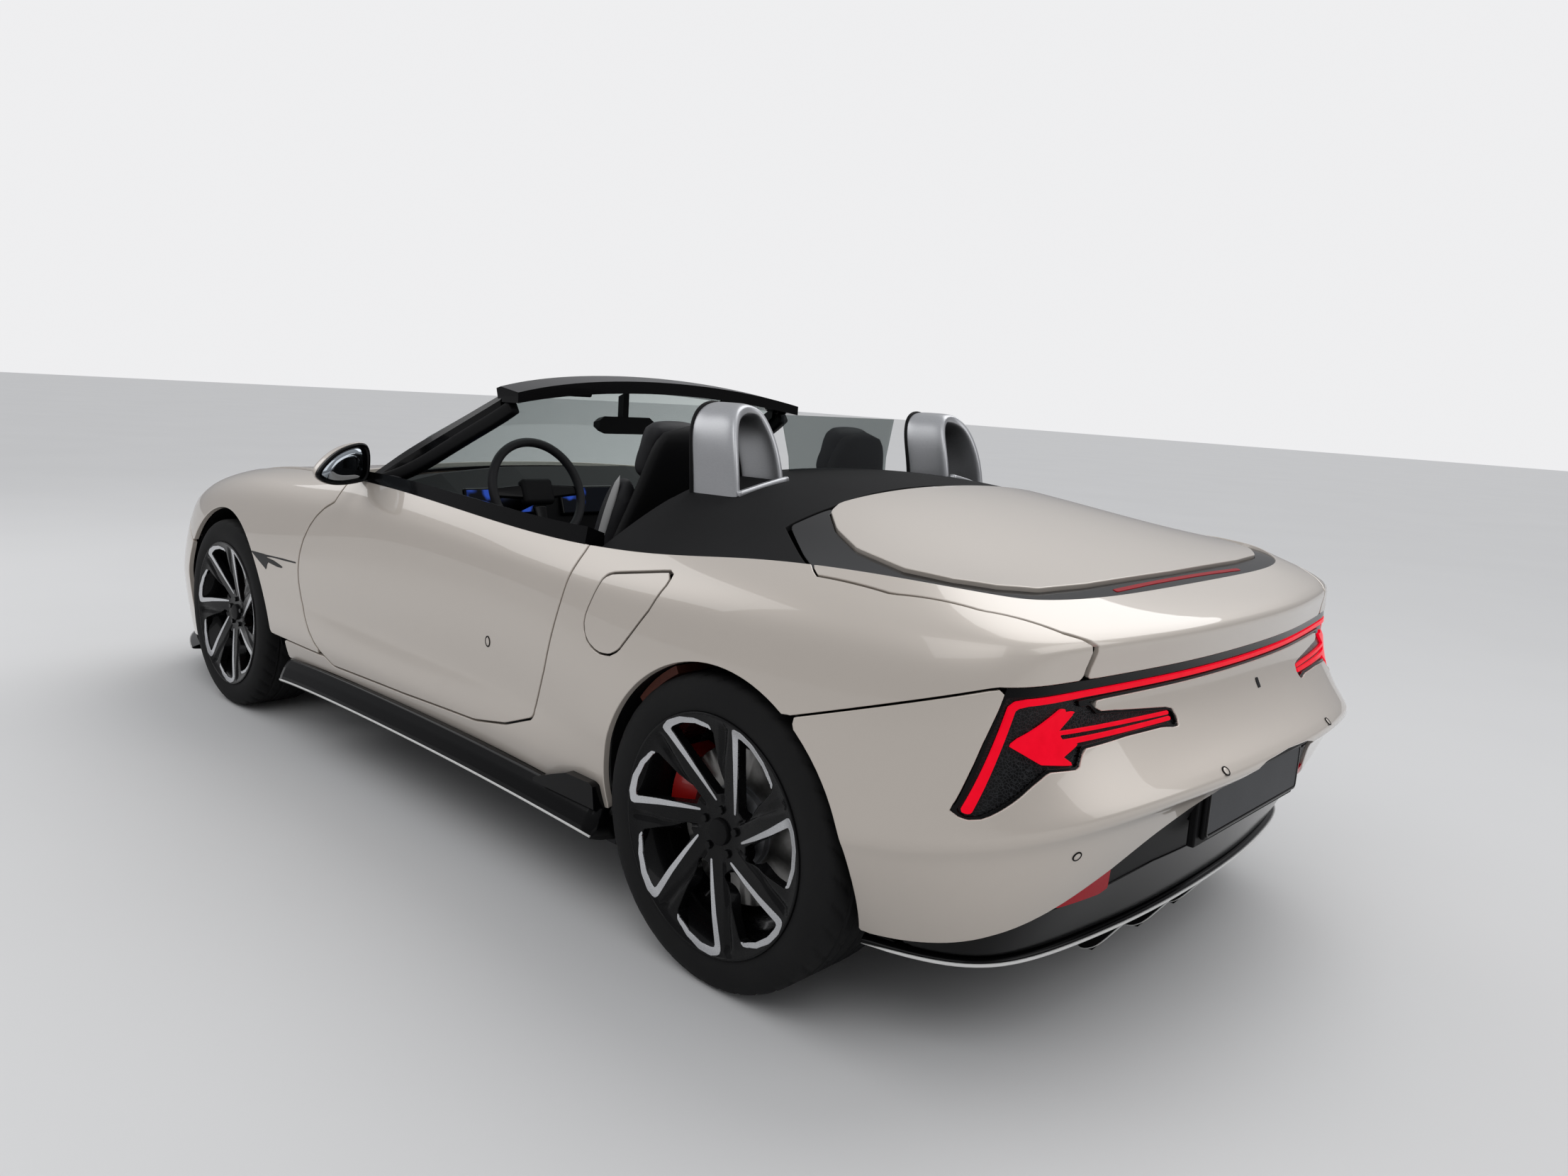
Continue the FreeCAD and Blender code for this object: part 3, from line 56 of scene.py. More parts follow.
# Body side: stations round the left half of the body. Columns: d and y of the base point in mm,
# direction of the outward normal in degrees, heights of foot, crest and shoulder, offsets of the
# nine side rows, then inward offset and height of the three rows over the shoulder.
LOWER_ROWS = (0.0, 0.28, 0.56, 0.78, 0.92, 1.0)
UPPER_ROWS = (0.17, 0.54, 1.0)
TAIL_OFFSETS = (-165, -135, -90, -48, -14, 36, -20, -104, -118)
NOSE_OFFSETS = (-35, -15, -4, 0, 3, 3, -3, -20, -48)
STATIONS = (
    (-838, 0, 180, 190, 587, 798, TAIL_OFFSETS, (88, 862), (92, 882), (238, 925)),
    (-832, 220, 178, 190, 587, 798, TAIL_OFFSETS, (88, 862), (92, 882), (232, 925)),
    (-808, 470, 173, 195, 578, 798, (-160, -128, -82, -42, -12, 32, -18, -98, -114),
     (86, 862), (90, 882), (208, 927)),
    (-757, 700, 160, 205, 556, 800, (-150, -100, -50, -28, -10, 25, -12, -72, -98),
     (76, 862), (84, 884), (214, 930)),
    (-650, 850, 130, 215, 515, 800, (-120, -75, -40, -20, -8, 12, 2, -8, -10),
     (30, 862), (62, 896), (215, 938)),
    (-470, 925, 103, 225, 470, 800, (-95, -60, -30, -12, -3, 6, 3, -2, -18),
     (45, 864), (82, 903), (166, 951)),
    (-230, 955, 94, 240, 450, 820, (-75, -45, -22, -8, -2, 3, 4, 0, -24),
     (55, 882), (92, 918), (143, 957)),
    (40, 965, 90, 240, 450, 820, (-45, -30, -18, -8, -2, 2, 4, -2, -28),
     (60, 880), (95, 914), (135, 943)),
    (340, 948, 88, 290, 470, 800, (-30, -20, -12, -6, -2, 2, 4, -3, -28),
     (52, 846), (80, 879), (103, 903)),
    (700, 918, 87, 300, 480, 800, (-18, 2, 4, 0, -4, -6, -6, -2, -18),
     (38, 838), (55, 868), (70, 890)),
    (1100, 905, 89, 300, 480, 810, (-16, 4, 4, -2, -8, -10, -8, -1, -14),
     (30, 850), (46, 882), (62, 907)),
    (1550, 910, 91, 300, 480, 820, (-16, 3, 3, -3, -9, -12, -9, -1, -14),
     (32, 870), (52, 905), (74, 935)),
    (2000, 927, 92, 300, 500, 810, (-20, 0, 2, -2, -6, -9, -6, 0, -22),
     (48, 862), (75, 900), (102, 935)),
    (2400, 945, 91, 270, 500, 800, (-40, -25, -14, -7, -2, 0, 2, -3, -32),
     (65, 858), (110, 905), (175, 920)),
    (2720, 950, 88, 250, 480, 780, (-45, -30, -18, -9, -3, 0, 2, -4, -35),
     (70, 835), (115, 878), (185, 895)),
    (3050, 930, 80, 190, 460, 740, (-35, -22, -12, -5, 0, 3, 2, -8, -35),
     (70, 790), (120, 832), (190, 850)),
    (3320, 865, 62, 150, 430, 690, (-30, -16, -6, 0, 2, 3, 0, -15, -45),
     (80, 735), (125, 765), (190, 785)),
    (3505, 730, 40, 135, 400, 640, (-30, -14, -4, 0, 3, 3, -3, -20, -50),
     (85, 680), (130, 705), (190, 725)),
    (3625, 480, 18, 130, 380, 600, NOSE_OFFSETS, (80, 637), (125, 660), (190, 682)),
    (3670, 220, 6, 130, 375, 590, NOSE_OFFSETS, (80, 625), (125, 650), (195, 675)),
    (3678, 0, 0, 130, 375, 590, NOSE_OFFSETS, (80, 625), (125, 650), (195, 675)),
)
# Rear deck and bonnet: heights in mm over a plan of d and y
DECK_D = (-760, -600, -400, -150, 100, 340, 560)
DECK_Y = (0, 200, 420, 600, 740, 850)
DECK_Z = (
    (884, 884, 884, 884, 884, 884),
    (925, 925, 926, 930, 932, 930),
    (974, 973, 968, 959, 951, 940),
    (1032, 1030, 1018, 996, 969, 945),
    (1083, 1079, 1058, 1019, 970, 930),
    (1104, 1100, 1080, 1034, 963, 895),
    (1092, 1087, 1074, 1023, 947, 880),
)
HOOD_D = (1860, 1960, 2200, 2500, 2800, 3080, 3300, 3440, 3510)
HOOD_Y = (0, 250, 480, 660, 800, 900)
HOOD_Z = (
    (1003, 1000, 984, 955, 935, 920),
    (985, 982, 968, 950, 938, 925),
    (965, 962, 952, 942, 938, 930),
    (935, 932, 926, 922, 922, 915),
    (892, 890, 886, 884, 884, 870),
    (832, 830, 828, 826, 822, 800),
    (762, 760, 758, 754, 745, 720),
    (704, 702, 698, 690, 680, 660),
    (672, 670, 664, 655, 645, 630),
)
# Outlines in mm; a row of four numbers is an arc through its first pair to its second
DOOR_OUTLINE = (
    (575, 1000), (578, 880), (600, 760), (646, 580), (688, 462), (696, 440, 716, 430),
    (820, 392), (980, 361), (1380, 342), (1820, 332),
    (1835, 334, 1850, 343), (2052, 600, 1880, 857), (1874, 935), (1874, 1000),
)
LID_SHUTLINE = ((96, 640), (-60, 760), (-165, 832), (-350, 817), (-520, 758), (-640, 672), (-692, 607),
                (-1000, 607))
SEAM_FRONT = (-172, 658)
LAMP_OUTLINE = ((640, 757), (640, 800), (815, 800), (845, 706), (877, 583), (880, 564, 870, 554), (852, 560),
                (824, 584), (780, 622), (745, 644), (706, 644), (680, 644), (652, 676), (520, 683), (399, 684),
                (366, 680), (338, 696, 356, 717), (376, 719), (590, 738), (612, 757))
BAR_LOW, BAR_HIGH = 757, 800
TAIL_EDGE = ((0, 596), (120, 590), (240, 562), (340, 517), (430, 470), (527, 413), (600, 378), (674, 342), (760, 300),
             (841, 253), (900, 226))
FLAP_OUTLINE = ((222, 876), (226, 881), (240, 882), (420, 851), (438, 846), (450, 836), (478, 760), (485, 735),
                (480, 712), (464, 690), (436, 676), (400, 670), (366, 675), (336, 691), (300, 735), (250, 800),
                (222, 860))
BONNET_OUTLINE = ((2175, 0), (2150, 400), (2100, 600), (2062, 740), (2062, 900), (3500, 900), (3500, 0))
HEADLAMP_OUTLINE = ((540, 590), (800, 652), (862, 700), (800, 690), (660, 655), (545, 618))
INTAKE_OUTLINE = ((0, 190), (560, 190), (620, 240), (520, 350), (0, 372))
PANEL_OUTLINE = ((98, 0), (96, 470), (70, 530), (-20, 610), (-140, 680), (-300, 715), (-400, 690), (-470, 640),
                 (-515, 560), (-530, 400), (-536, 0))
PLATE_POCKET_Y, PLATE_POCKET_Z = 285, (405, 562)


# Surfaces

def cubic_weights(count, t):
    """Weights of the control points of a clamped even cubic spline at each t, by the two-term recursion."""
    knots = np.concatenate([np.zeros(3), np.arange(count - 2), np.full(3, count - 3)]).astype(float)
    t = np.clip(t, 0, count - 3 - 1e-9)[:, None]
    weights = ((t >= knots[:-1]) & (t < knots[1:])).astype(float)
    for degree in (1, 2, 3):
        size = len(knots) - 1 - degree
        left_span = knots[degree:degree + size] - knots[:size]
        right_span = knots[degree + 1:degree + 1 + size] - knots[1:1 + size]
        left = np.where(left_span > 0, (t - knots[:size]) / np.where(left_span > 0, left_span, 1), 0)
        right = np.where(right_span > 0,
                         (knots[degree + 1:degree + 1 + size] - t) / np.where(right_span > 0, right_span, 1), 0)
        weights = left * weights[:, :size] + right * weights[:, 1:1 + size]
    return weights


def even_steps(poles, axis, cell):
    """Parameters along one direction, so that neighbours lie about one cell apart."""
    count = poles.shape[axis]
    t = np.linspace(0, count - 3, 24 * (count - 3) + 1)
    across = np.linspace(0, poles.shape[1 - axis] - 3, 9)
    wa, wb = cubic_weights(count, t), cubic_weights(poles.shape[1 - axis], across)
    lines = np.einsum("ti,ijk,sj->tsk", wa, poles if axis == 0 else poles.transpose(1, 0, 2), wb)
    length = np.linalg.norm(np.diff(lines, axis=0), axis=2).max(axis=1)
    run = np.concatenate([[0], np.cumsum(length)])
    return np.interp(np.linspace(0, run[-1], int(run[-1] / cell) + 2), run, t)


class Sheet:
    """Dense grid of points and outward normals on a spline surface, in mm with x counted from the rear axle."""

    wrap = False

    def __init__(self, poles, cell, flip=False, u_range=None, v_range=None):
        u, v = even_steps(poles, 0, cell), even_steps(poles, 1, cell)
        if u_range:
            u, v = (t[(t >= low) & (t <= high)] for t, (low, high) in ((u, u_range), (v, v_range)))
        self.points = self.at(poles, u, v)
        step = 1e-4
        du = self.at(poles, u + step, v) - self.at(poles, u - step, v)
        dv = self.at(poles, u, v + step) - self.at(poles, u, v - step)
        normals = np.cross(dv, du) if not flip else np.cross(du, dv)
        self.normals = normals / np.maximum(np.linalg.norm(normals, axis=2, keepdims=True), 1e-12)
        self.flip = flip

    @staticmethod
    def at(poles, u, v):
        """Tensor product: weights along, control points, weights across."""
        return np.einsum("ui,ijk,vj->uvk", cubic_weights(poles.shape[0], u), poles, cubic_weights(poles.shape[1], v))

    def lowered(self, depth):
        """The same sheet moved inwards along its normals."""
        other = object.__new__(Sheet)
        other.points = self.points - self.normals * depth
        other.normals, other.flip, other.wrap = self.normals, self.flip, self.wrap
        return other


def body_poles():
    """Control points of the body side: each station's base point moved along its normal by the row's offset."""
    grid = []
    for d, y, angle, z_foot, z_crest, z_shoulder, outs, *tops in STATIONS:
        nx, ny = math.cos(math.radians(angle)), math.sin(math.radians(angle))
        heights = [z_foot + f * (z_crest - z_foot) for f in LOWER_ROWS]
        heights += [z_crest + f * (z_shoulder - z_crest) for f in UPPER_ROWS]
        rows = list(zip(outs, heights)) + [(-inward, z) for inward, z in tops]
        grid.append([(d + out * nx, 0.0 if y == 0 else y + out * ny, z) for out, z in rows])
    poles = np.array(grid, float)
    poles[1, :, [0, 2]] = poles[0, :, [0, 2]]
    poles[-2, :, [0, 2]] = poles[-1, :, [0, 2]]
    return poles


def height_poles(ds, ys, zs):
    """Control points of a surface over a plan, its half mirrored to the other side."""
    rows = np.array(zs, float)
    full = np.concatenate([rows[:, :0:-1], rows], axis=1)
    across = np.concatenate([-np.array(ys[:0:-1], float), np.array(ys, float)])
    grid = np.zeros((len(ds), len(across), 3))
    grid[..., 0], grid[..., 1], grid[..., 2] = np.array(ds, float)[:, None], across[None, :], full
    return grid


# Levels: signed distances, positive on the side that is kept

def arc_points(start, mid, end, count=14):
    """Points along the circle through three points, by its centre and swept angle."""
    (ax_, ay_), (bx, by), (cx, cy) = start, mid, end
    k = 2 * (ax_ * (by - cy) + bx * (cy - ay_) + cx * (ay_ - by))
    sa, sb, sc = ax_ ** 2 + ay_ ** 2, bx ** 2 + by ** 2, cx ** 2 + cy ** 2
    ox = (sa * (by - cy) + sb * (cy - ay_) + sc * (ay_ - by)) / k
    oy = (sa * (cx - bx) + sb * (ax_ - cx) + sc * (bx - ax_)) / k
    radius = math.hypot(ax_ - ox, ay_ - oy)
    a0, a1, a2 = (math.atan2(p[1] - oy, p[0] - ox) for p in (start, mid, end))
    sweep, part = (a2 - a0) % (2 * math.pi), (a1 - a0) % (2 * math.pi)
    if part > sweep:
        sweep -= 2 * math.pi
    angles = a0 + sweep * np.linspace(0, 1, count)[1:]
    return [(ox + radius * math.cos(a), oy + radius * math.sin(a)) for a in angles]


def polygon(rows):
    """Corners of an outline, its arcs resolved."""
    out = [rows[0]]
    for row in rows[1:]:
        out += arc_points(out[-1], row[:2], row[2:]) if len(row) == 4 else [row]
    return np.array(out, float)


def inside(a, b, rows):
    """Distance of points (a, b) to a closed outline: least distance to its edges, negative outside."""
    corners = polygon(rows)
    best = np.full(a.shape, 1e9)
    odd = np.zeros(a.shape, bool)
    for (x0, y0), (x1, y1) in zip(corners, np.roll(corners, -1, axis=0)):
        ex, ey = x1 - x0, y1 - y0
        t = np.clip(((a - x0) * ex + (b - y0) * ey) / max(ex * ex + ey * ey, 1e-12), 0, 1)
        best = np.minimum(best, np.hypot(a - x0 - t * ex, b - y0 - t * ey))
        if y0 != y1:
            odd ^= ((y0 > b) != (y1 > b)) & (a < ex * (b - y0) / ey + x0)
    return np.where(odd, best, -best)


def band(value, low, high):
    """Distance into an interval."""
    return np.minimum(value - low, high - value)


# Meshes

def clipped(sheet, level):
    """Part of a sheet where level is positive: whole cells as quads, cut cells as triangles to the zero line."""
    nu, nv = level.shape
    flat = level.ravel()
    keep = flat > 0
    index = np.arange(nu * nv).reshape(nu, nv)
    if sheet.wrap:
        index[-1] = index[0]
    cells = np.stack([index[:-1, :-1], index[:-1, 1:], index[1:, 1:], index[1:, :-1]], axis=-1).reshape(-1, 4)
    if sheet.flip:
        cells = cells[:, ::-1]
    count = keep[cells].sum(axis=1)
    whole, cut = cells[count == 4], cells[(count > 0) & (count < 4)]
    tris = np.concatenate([cut[:, [0, 1, 2]], cut[:, [0, 2, 3]]])
    kept = keep[tris]
    number = kept.sum(axis=1)
    one, two = tris[number == 1], tris[number == 2]
    first = np.argmax(keep[one], axis=1)
    one = np.stack([one[np.arange(len(one)), (first + k) % 3] for k in range(3)], axis=1)
    gone = np.argmax(~keep[two], axis=1)
    two = np.stack([two[np.arange(len(two)), (gone + k) % 3] for k in range(3)], axis=1)
    pairs = np.concatenate([one[:, [0, 1]], one[:, [0, 2]], two[:, [0, 1]], two[:, [0, 2]]])
    ordered = np.sort(pairs, axis=1)
    unique, where = np.unique(ordered[:, 0] * (nu * nv) + ordered[:, 1], return_inverse=True)
    a, b = unique // (nu * nv), unique % (nu * nv)
    share = (flat[a] / (flat[a] - flat[b]))[:, None]
    points, normals = sheet.points.reshape(-1, 3), sheet.normals.reshape(-1, 3)
    points = np.concatenate([points, points[a] * (1 - share) + points[b] * share])
    mixed = normals[a] * (1 - share) + normals[b] * share
    normals = np.concatenate([normals, mixed / np.linalg.norm(mixed, axis=1, keepdims=True)])
    where = where.reshape(-1) + nu * nv
    n1, n2 = len(one), len(two)
    one_faces = np.stack([one[:, 0], where[:n1], where[n1:2 * n1]], axis=1)
    low, high = where[2 * n1:2 * n1 + n2], where[2 * n1 + n2:]
    two_faces = np.stack([low, two[:, 1], two[:, 2], high], axis=1)
    return points, normals, [whole, tris[number == 3], one_faces, two_faces]


def compact(points, normals, faces):
    """The same mesh without the points that no face uses."""
    used = np.unique(np.concatenate([f.ravel() for f in faces]))
    place = np.full(len(points), -1)
    place[used] = np.arange(len(used))
    return points[used], normals[used], [place[f] for f in faces if len(f)]


def rim_edges(faces, size):
    """Edges with a face on one side only, in the direction that their face runs."""
    pairs = np.concatenate([np.stack([f, np.roll(f, -1, axis=1)], axis=-1).reshape(-1, 2) for f in faces])
    forward = pairs[:, 0] * size + pairs[:, 1]
    backward = pairs[:, 1] * size + pairs[:, 0]
    return pairs[~np.isin(forward, backward)]


HEM_ANGLES = (30.0, 60.0, 90.0)


def hemmed(points, normals, faces, radius, depth):
    """Closed shell: the skin, an edge rolled over a quarter circle of the radius, and the same skin at depth."""
    size = len(points)
    edges = rim_edges(faces, size)
    edges = edges[~((np.abs(points[edges, 1]) < 1e-4).all(axis=1))]
    along = points[edges[:, 1]] - points[edges[:, 0]]
    outward = np.cross(along, normals[edges[:, 0]])
    outward /= np.maximum(np.linalg.norm(outward, axis=1, keepdims=True), 1e-12)
    sums = np.zeros((size, 3))
    np.add.at(sums, edges[:, 0], outward)
    np.add.at(sums, edges[:, 1], outward)
    rim = np.unique(edges)
    out = sums[rim] / np.maximum(np.linalg.norm(sums[rim], axis=1, keepdims=True), 1e-12)
    centre = np.abs(points[rim, 1]) < 1e-4
    out[centre, 1] = 0.0
    order = np.zeros(size, int)
    order[rim] = np.arange(len(rim))
    rows, base = [rim], size
    new_points, new_normals, new_faces = [points], [normals], list(faces)
    for degrees in HEM_ANGLES if radius > 1.6 else (45.0, 90.0):
        s, c = math.sin(math.radians(degrees)), math.cos(math.radians(degrees))
        new_points.append(points[rim] + out * radius * s - normals[rim] * radius * (1 - c))
        new_normals.append(normals[rim] * c + out * s)
        rows.append(base + np.arange(len(rim)))
        base += len(rim)
    new_points.append(points[rim] + out * radius - normals[rim] * depth)
    new_normals.append(out)
    rows.append(base + np.arange(len(rim)))
    base += len(rim)
    a, b = order[edges[:, 0]], order[edges[:, 1]]
    for low, high in zip(rows[:-1], rows[1:]):
        new_faces.append(np.stack([low[b], low[a], high[a], high[b]], axis=1))
    inner = points - normals * depth
    inner[rim] += out * radius
    new_points.append(inner)
    new_normals.append(-normals)
    lip = base + rim
    new_faces.append(np.stack([rows[-1][b], rows[-1][a], lip[a], lip[b]], axis=1))
    new_faces += [f[:, ::-1] + base for f in faces]
    return np.concatenate(new_points), np.concatenate(new_normals), new_faces


def add_mesh(name, points, faces, material, body, normals=None, smooth=True, replaces=(), slot=None):
    """Piece from points in mm from the rear axle, riding on one body."""
    mesh = bpy.data.meshes.new(name)
    place = np.asarray(points, float) * MM + (REAR_AXLE_X, 0.0, 0.0)
    groups = [np.asarray(f) for f in faces if len(f)]
    sizes = np.concatenate([np.full(len(f), f.shape[1]) for f in groups])
    corners = np.concatenate([f.ravel() for f in groups])
    mesh.vertices.add(len(place))
    mesh.vertices.foreach_set("co", place.astype(np.float32).ravel())
    mesh.loops.add(len(corners))
    mesh.loops.foreach_set("vertex_index", corners.astype(np.int32))
    mesh.polygons.add(len(sizes))
    mesh.polygons.foreach_set("loop_start", np.concatenate([[0], np.cumsum(sizes)[:-1]]).astype(np.int32))
    mesh.update(calc_edges=True)
    mesh.validate()
    mesh.polygons.foreach_set("use_smooth", np.full(len(mesh.polygons), smooth))
    if normals is not None and len(mesh.vertices) == len(place):
        unit = normals / np.maximum(np.linalg.norm(normals, axis=1, keepdims=True), 1e-12)
        mesh.normals_split_custom_set_from_vertices(unit.astype(np.float32))
    return add_piece(name, mesh, material, body, replaces)


def add_piece(name, mesh, material, body, replaces=()):
    """Object at the origin with its finish, the body it rides on and the nodes it stands for."""
    piece = bpy.data.objects.new(name, mesh)
    bpy.context.scene.collection.objects.link(piece)
    mesh.materials.clear()
    mesh.materials.append(FINISHES[material])
    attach(piece, body)
    if replaces:
        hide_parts(*replaces)
    return piece


MIRROR_Y = np.array([1.0, -1.0, 1.0])


def add_panel(name, sheet, level, material, body, nodes, sides="both", radius=2.5, depth=16.0, edge=0.0, slot=None):
    """Body panel cut from a sheet. sides: left, right, pair for one piece each, both for a mirrored half made one
    piece, or whole for a sheet that spans the car."""
    points, normals, faces = compact(*clipped(sheet, level - radius - edge))
    points, normals, faces = hemmed(points, normals, faces, radius, depth)
    mirrored_faces = [f[:, ::-1] for f in faces]
    if sides == "both":
        count = len(points)
        all_points = np.concatenate([points, points * MIRROR_Y])
        all_normals = np.concatenate([normals, normals * MIRROR_Y])
        join = np.arange(2 * count)
        centre = np.where(np.abs(points[:, 1]) < 1e-4)[0]
        join[centre + count] = centre
        faces = faces + [join[f + count] for f in mirrored_faces]
        all_points, all_normals, faces = compact(all_points, all_normals, faces)
        return [add_mesh(name, all_points, faces, material, body, all_normals, replaces=nodes, slot=slot)]
    made = []
    if sides != "right":
        suffix = "_left" if sides == "pair" else ""
        made.append(add_mesh(name + suffix, points, faces, material, body, normals, replaces=nodes, slot=slot))
    if sides in ("right", "pair"):
        suffix = "_right" if sides == "pair" else ""
        made.append(add_mesh(name + suffix, points * MIRROR_Y, mirrored_faces, material, body,
                             normals * MIRROR_Y, replaces=nodes, slot=slot))
    return made


# Shader maths

FINISHES = {}


class Wire:
    """Output socket with arithmetic: an expression on it adds its Math nodes."""

    def __init__(self, owner, socket):
        self.owner, self.socket = owner, socket

    def math(self, operation, first, second):
        return self.owner.node("ShaderNodeMath", {"operation": operation}, {0: first, 1: second})

    def __add__(self, other):
        return self.math("ADD", self, other)

    def __radd__(self, other):
        return self.math("ADD", self, other)

    def __rsub__(self, other):
        return self.math("SUBTRACT", other, self)

    def __mul__(self, other):
        return self.math("MULTIPLY", self, other)

    def __rmul__(self, other):
        return self.math("MULTIPLY", self, other)

    def __pow__(self, other):
        return self.math("POWER", self, other)

    def smooth(self, low, high):
        """0 below low, 1 above high, with a soft step between."""
        return self.owner.node("ShaderNodeMapRange", {"interpolation_type": "SMOOTHSTEP"},
                               {"Value": self, "From Min": low, "From Max": high})


class Tree:
    """Node tree whose nodes all come from one method."""

    def __init__(self, tree):
        self.tree = tree

    def feed(self, socket, value):
        if isinstance(value, Wire):
            self.tree.links.new(value.socket, socket)
        elif isinstance(value, (tuple, list)) and socket.type == "RGBA" and len(value) == 3:
            socket.default_value = (*value, 1.0)
        else:
            socket.default_value = value

    def node(self, kind, settings=None, inputs=None, output=0):
        """New node: its settings first, a ramp's stops among them, then the values or links of its sockets."""
        made = self.tree.nodes.new(kind)
        for key, value in (settings or {}).items():
            if key == "stops":
                for element, (place, colour) in zip(made.color_ramp.elements, value):
                    element.position, element.color = place, (*colour, 1.0)
            else:
                setattr(made, key, value)
        for key, value in (inputs or {}).items():
            self.feed(made.inputs[key], value)
        return Wire(self, made.outputs[output])

    def tint(self, mask, low, high):
        """Colour between two, by a mask."""
        return self.node("ShaderNodeMix", {"data_type": "RGBA"}, {"Factor": mask, "A": low, "B": high}, "Result")


class Shade(Tree):
    """One material: its Principled shader and the nodes that feed it."""

    def __init__(self, name, **sockets):
        self.material = bpy.data.materials.new(name)
        self.material.use_nodes = True
        super().__init__(self.material.node_tree)
        self.shader = self.tree.nodes["Principled BSDF"]
        self.set(**sockets)
        FINISHES[name] = self.material

    def set(self, **sockets):
        for key, value in sockets.items():
            self.feed(self.shader.inputs[key.replace("_", " ")], value)

    def place(self, scale=None):
        """Object coordinates, in metres."""
        here = self.node("ShaderNodeTexCoord", output="Object")
        if scale is None:
            return here
        return self.node("ShaderNodeMapping", {}, {"Vector": here, "Scale": scale})

    def noise(self, scale, detail=3.0, where=None):
        return self.node("ShaderNodeTexNoise", {}, {"Vector": where or self.place(), "Scale": scale,
                                                    "Detail": detail, "Roughness": 0.5})

    def cells(self, scale, feature="F1"):
        return self.node("ShaderNodeTexVoronoi", {"feature": feature}, {"Vector": self.place(), "Scale": scale})

    def bump(self, height, strength, distance=0.001):
        self.set(Normal=self.node("ShaderNodeBump", {}, {"Height": height, "Strength": strength,
                                                         "Distance": distance}))


def tone(r, g, b):
    """Screen colour of 0 to 255 as the linear values that shaders use."""
    return tuple(((c / 255 + 0.055) / 1.055) ** 2.4 if c > 10 else c / 255 / 12.92 for c in (r, g, b))


# Finish, its fixed sockets, scale and detail of the noise between its two tones, low and high tone, roughness, then
# scale, detail and share of the noise on it, then strength and distance of the bump by that same noise
PLAIN_FINISHES = (
    ("gloss_black", {"IOR": 1.2, "Coat_Weight": 0.3, "Coat_Roughness": 0.03, "Coat_IOR": 1.2},
     (6, 3), (5, 5, 6), (9, 9, 10), 0.16, (40, 3, 0.05), None),
    ("satin_black", {"IOR": 1.2}, (8, 3), (15, 15, 16), (22, 22, 23), 0.42, (900, 2, 0.16), (0.12, 0.0004)),
    ("cover_black", {"IOR": 1.2}, (5, 3), (18, 18, 19), (26, 26, 27), 0.62, (1400, 2, 0.2), (0.2, 0.0004)),
    ("lamp_front", {"Coat_Weight": 1.0, "Coat_Roughness": 0.02},
     (12, 3), (22, 23, 26), (52, 54, 58), 0.1, (60, 3, 0.05), None),
    ("structure", {"IOR": 1.25}, (9, 6), (30, 30, 32), (46, 46, 48), 0.55, (9, 6, 0.2), None),
    ("cast_case", {"Metallic": 0.7}, (260, 5), (112, 113, 116), (146, 147, 150), 0.48, (260, 5, 0.16), (0.25, 0.0006)),
    ("disc_steel", {"Metallic": 0.95}, (90, 4), (128, 126, 124), (158, 157, 155), 0.3, (90, 4, 0.12), None),
    ("caliper_red", {"Coat_Weight": 0.8, "Coat_Roughness": 0.06},
     (30, 3), (168, 18, 16), (190, 26, 22), 0.34, (200, 3, 0.08), None),
    ("bracket_rust", {"Specular_IOR_Level": 0.3}, (60, 5), (92, 52, 44), (126, 74, 60), 0.55, (60, 5, 0.2), None),
    ("wheel_black", {"Coat_Weight": 0.22, "Coat_Roughness": 0.05, "Coat_IOR": 1.4, "Specular_IOR_Level": 0.08},
     (14, 3), (9, 9, 10), (15, 15, 16), 0.24, (60, 3, 0.06), None),
    ("tyre", {"Specular_IOR_Level": 0.14}, (7, 4), (23, 23, 24), (33, 33, 33), 0.66, (420, 4, 0.18), (0.22, 0.0005)),
    ("pin_white", {"Coat_Weight": 0.5, "Coat_Roughness": 0.05},
     (12, 3), (214, 214, 212), (228, 228, 226), 0.3, (60, 3, 0.06), None),
    ("plate_dark", {"IOR": 1.3}, (10, 3), (40, 42, 46), (52, 54, 58), 0.38, (300, 3, 0.1), None),
    ("mirror_glass", {"Metallic": 1.0}, (5, 3), (150, 156, 162), (160, 166, 172), 0.03, (30, 3, 0.02), None),
    ("carpet", {"Specular_IOR_Level": 0.15},
     (1100, 3), (20, 20, 21), (38, 38, 39), 0.85, (1100, 3, 0.1), (0.5, 0.001)),
)


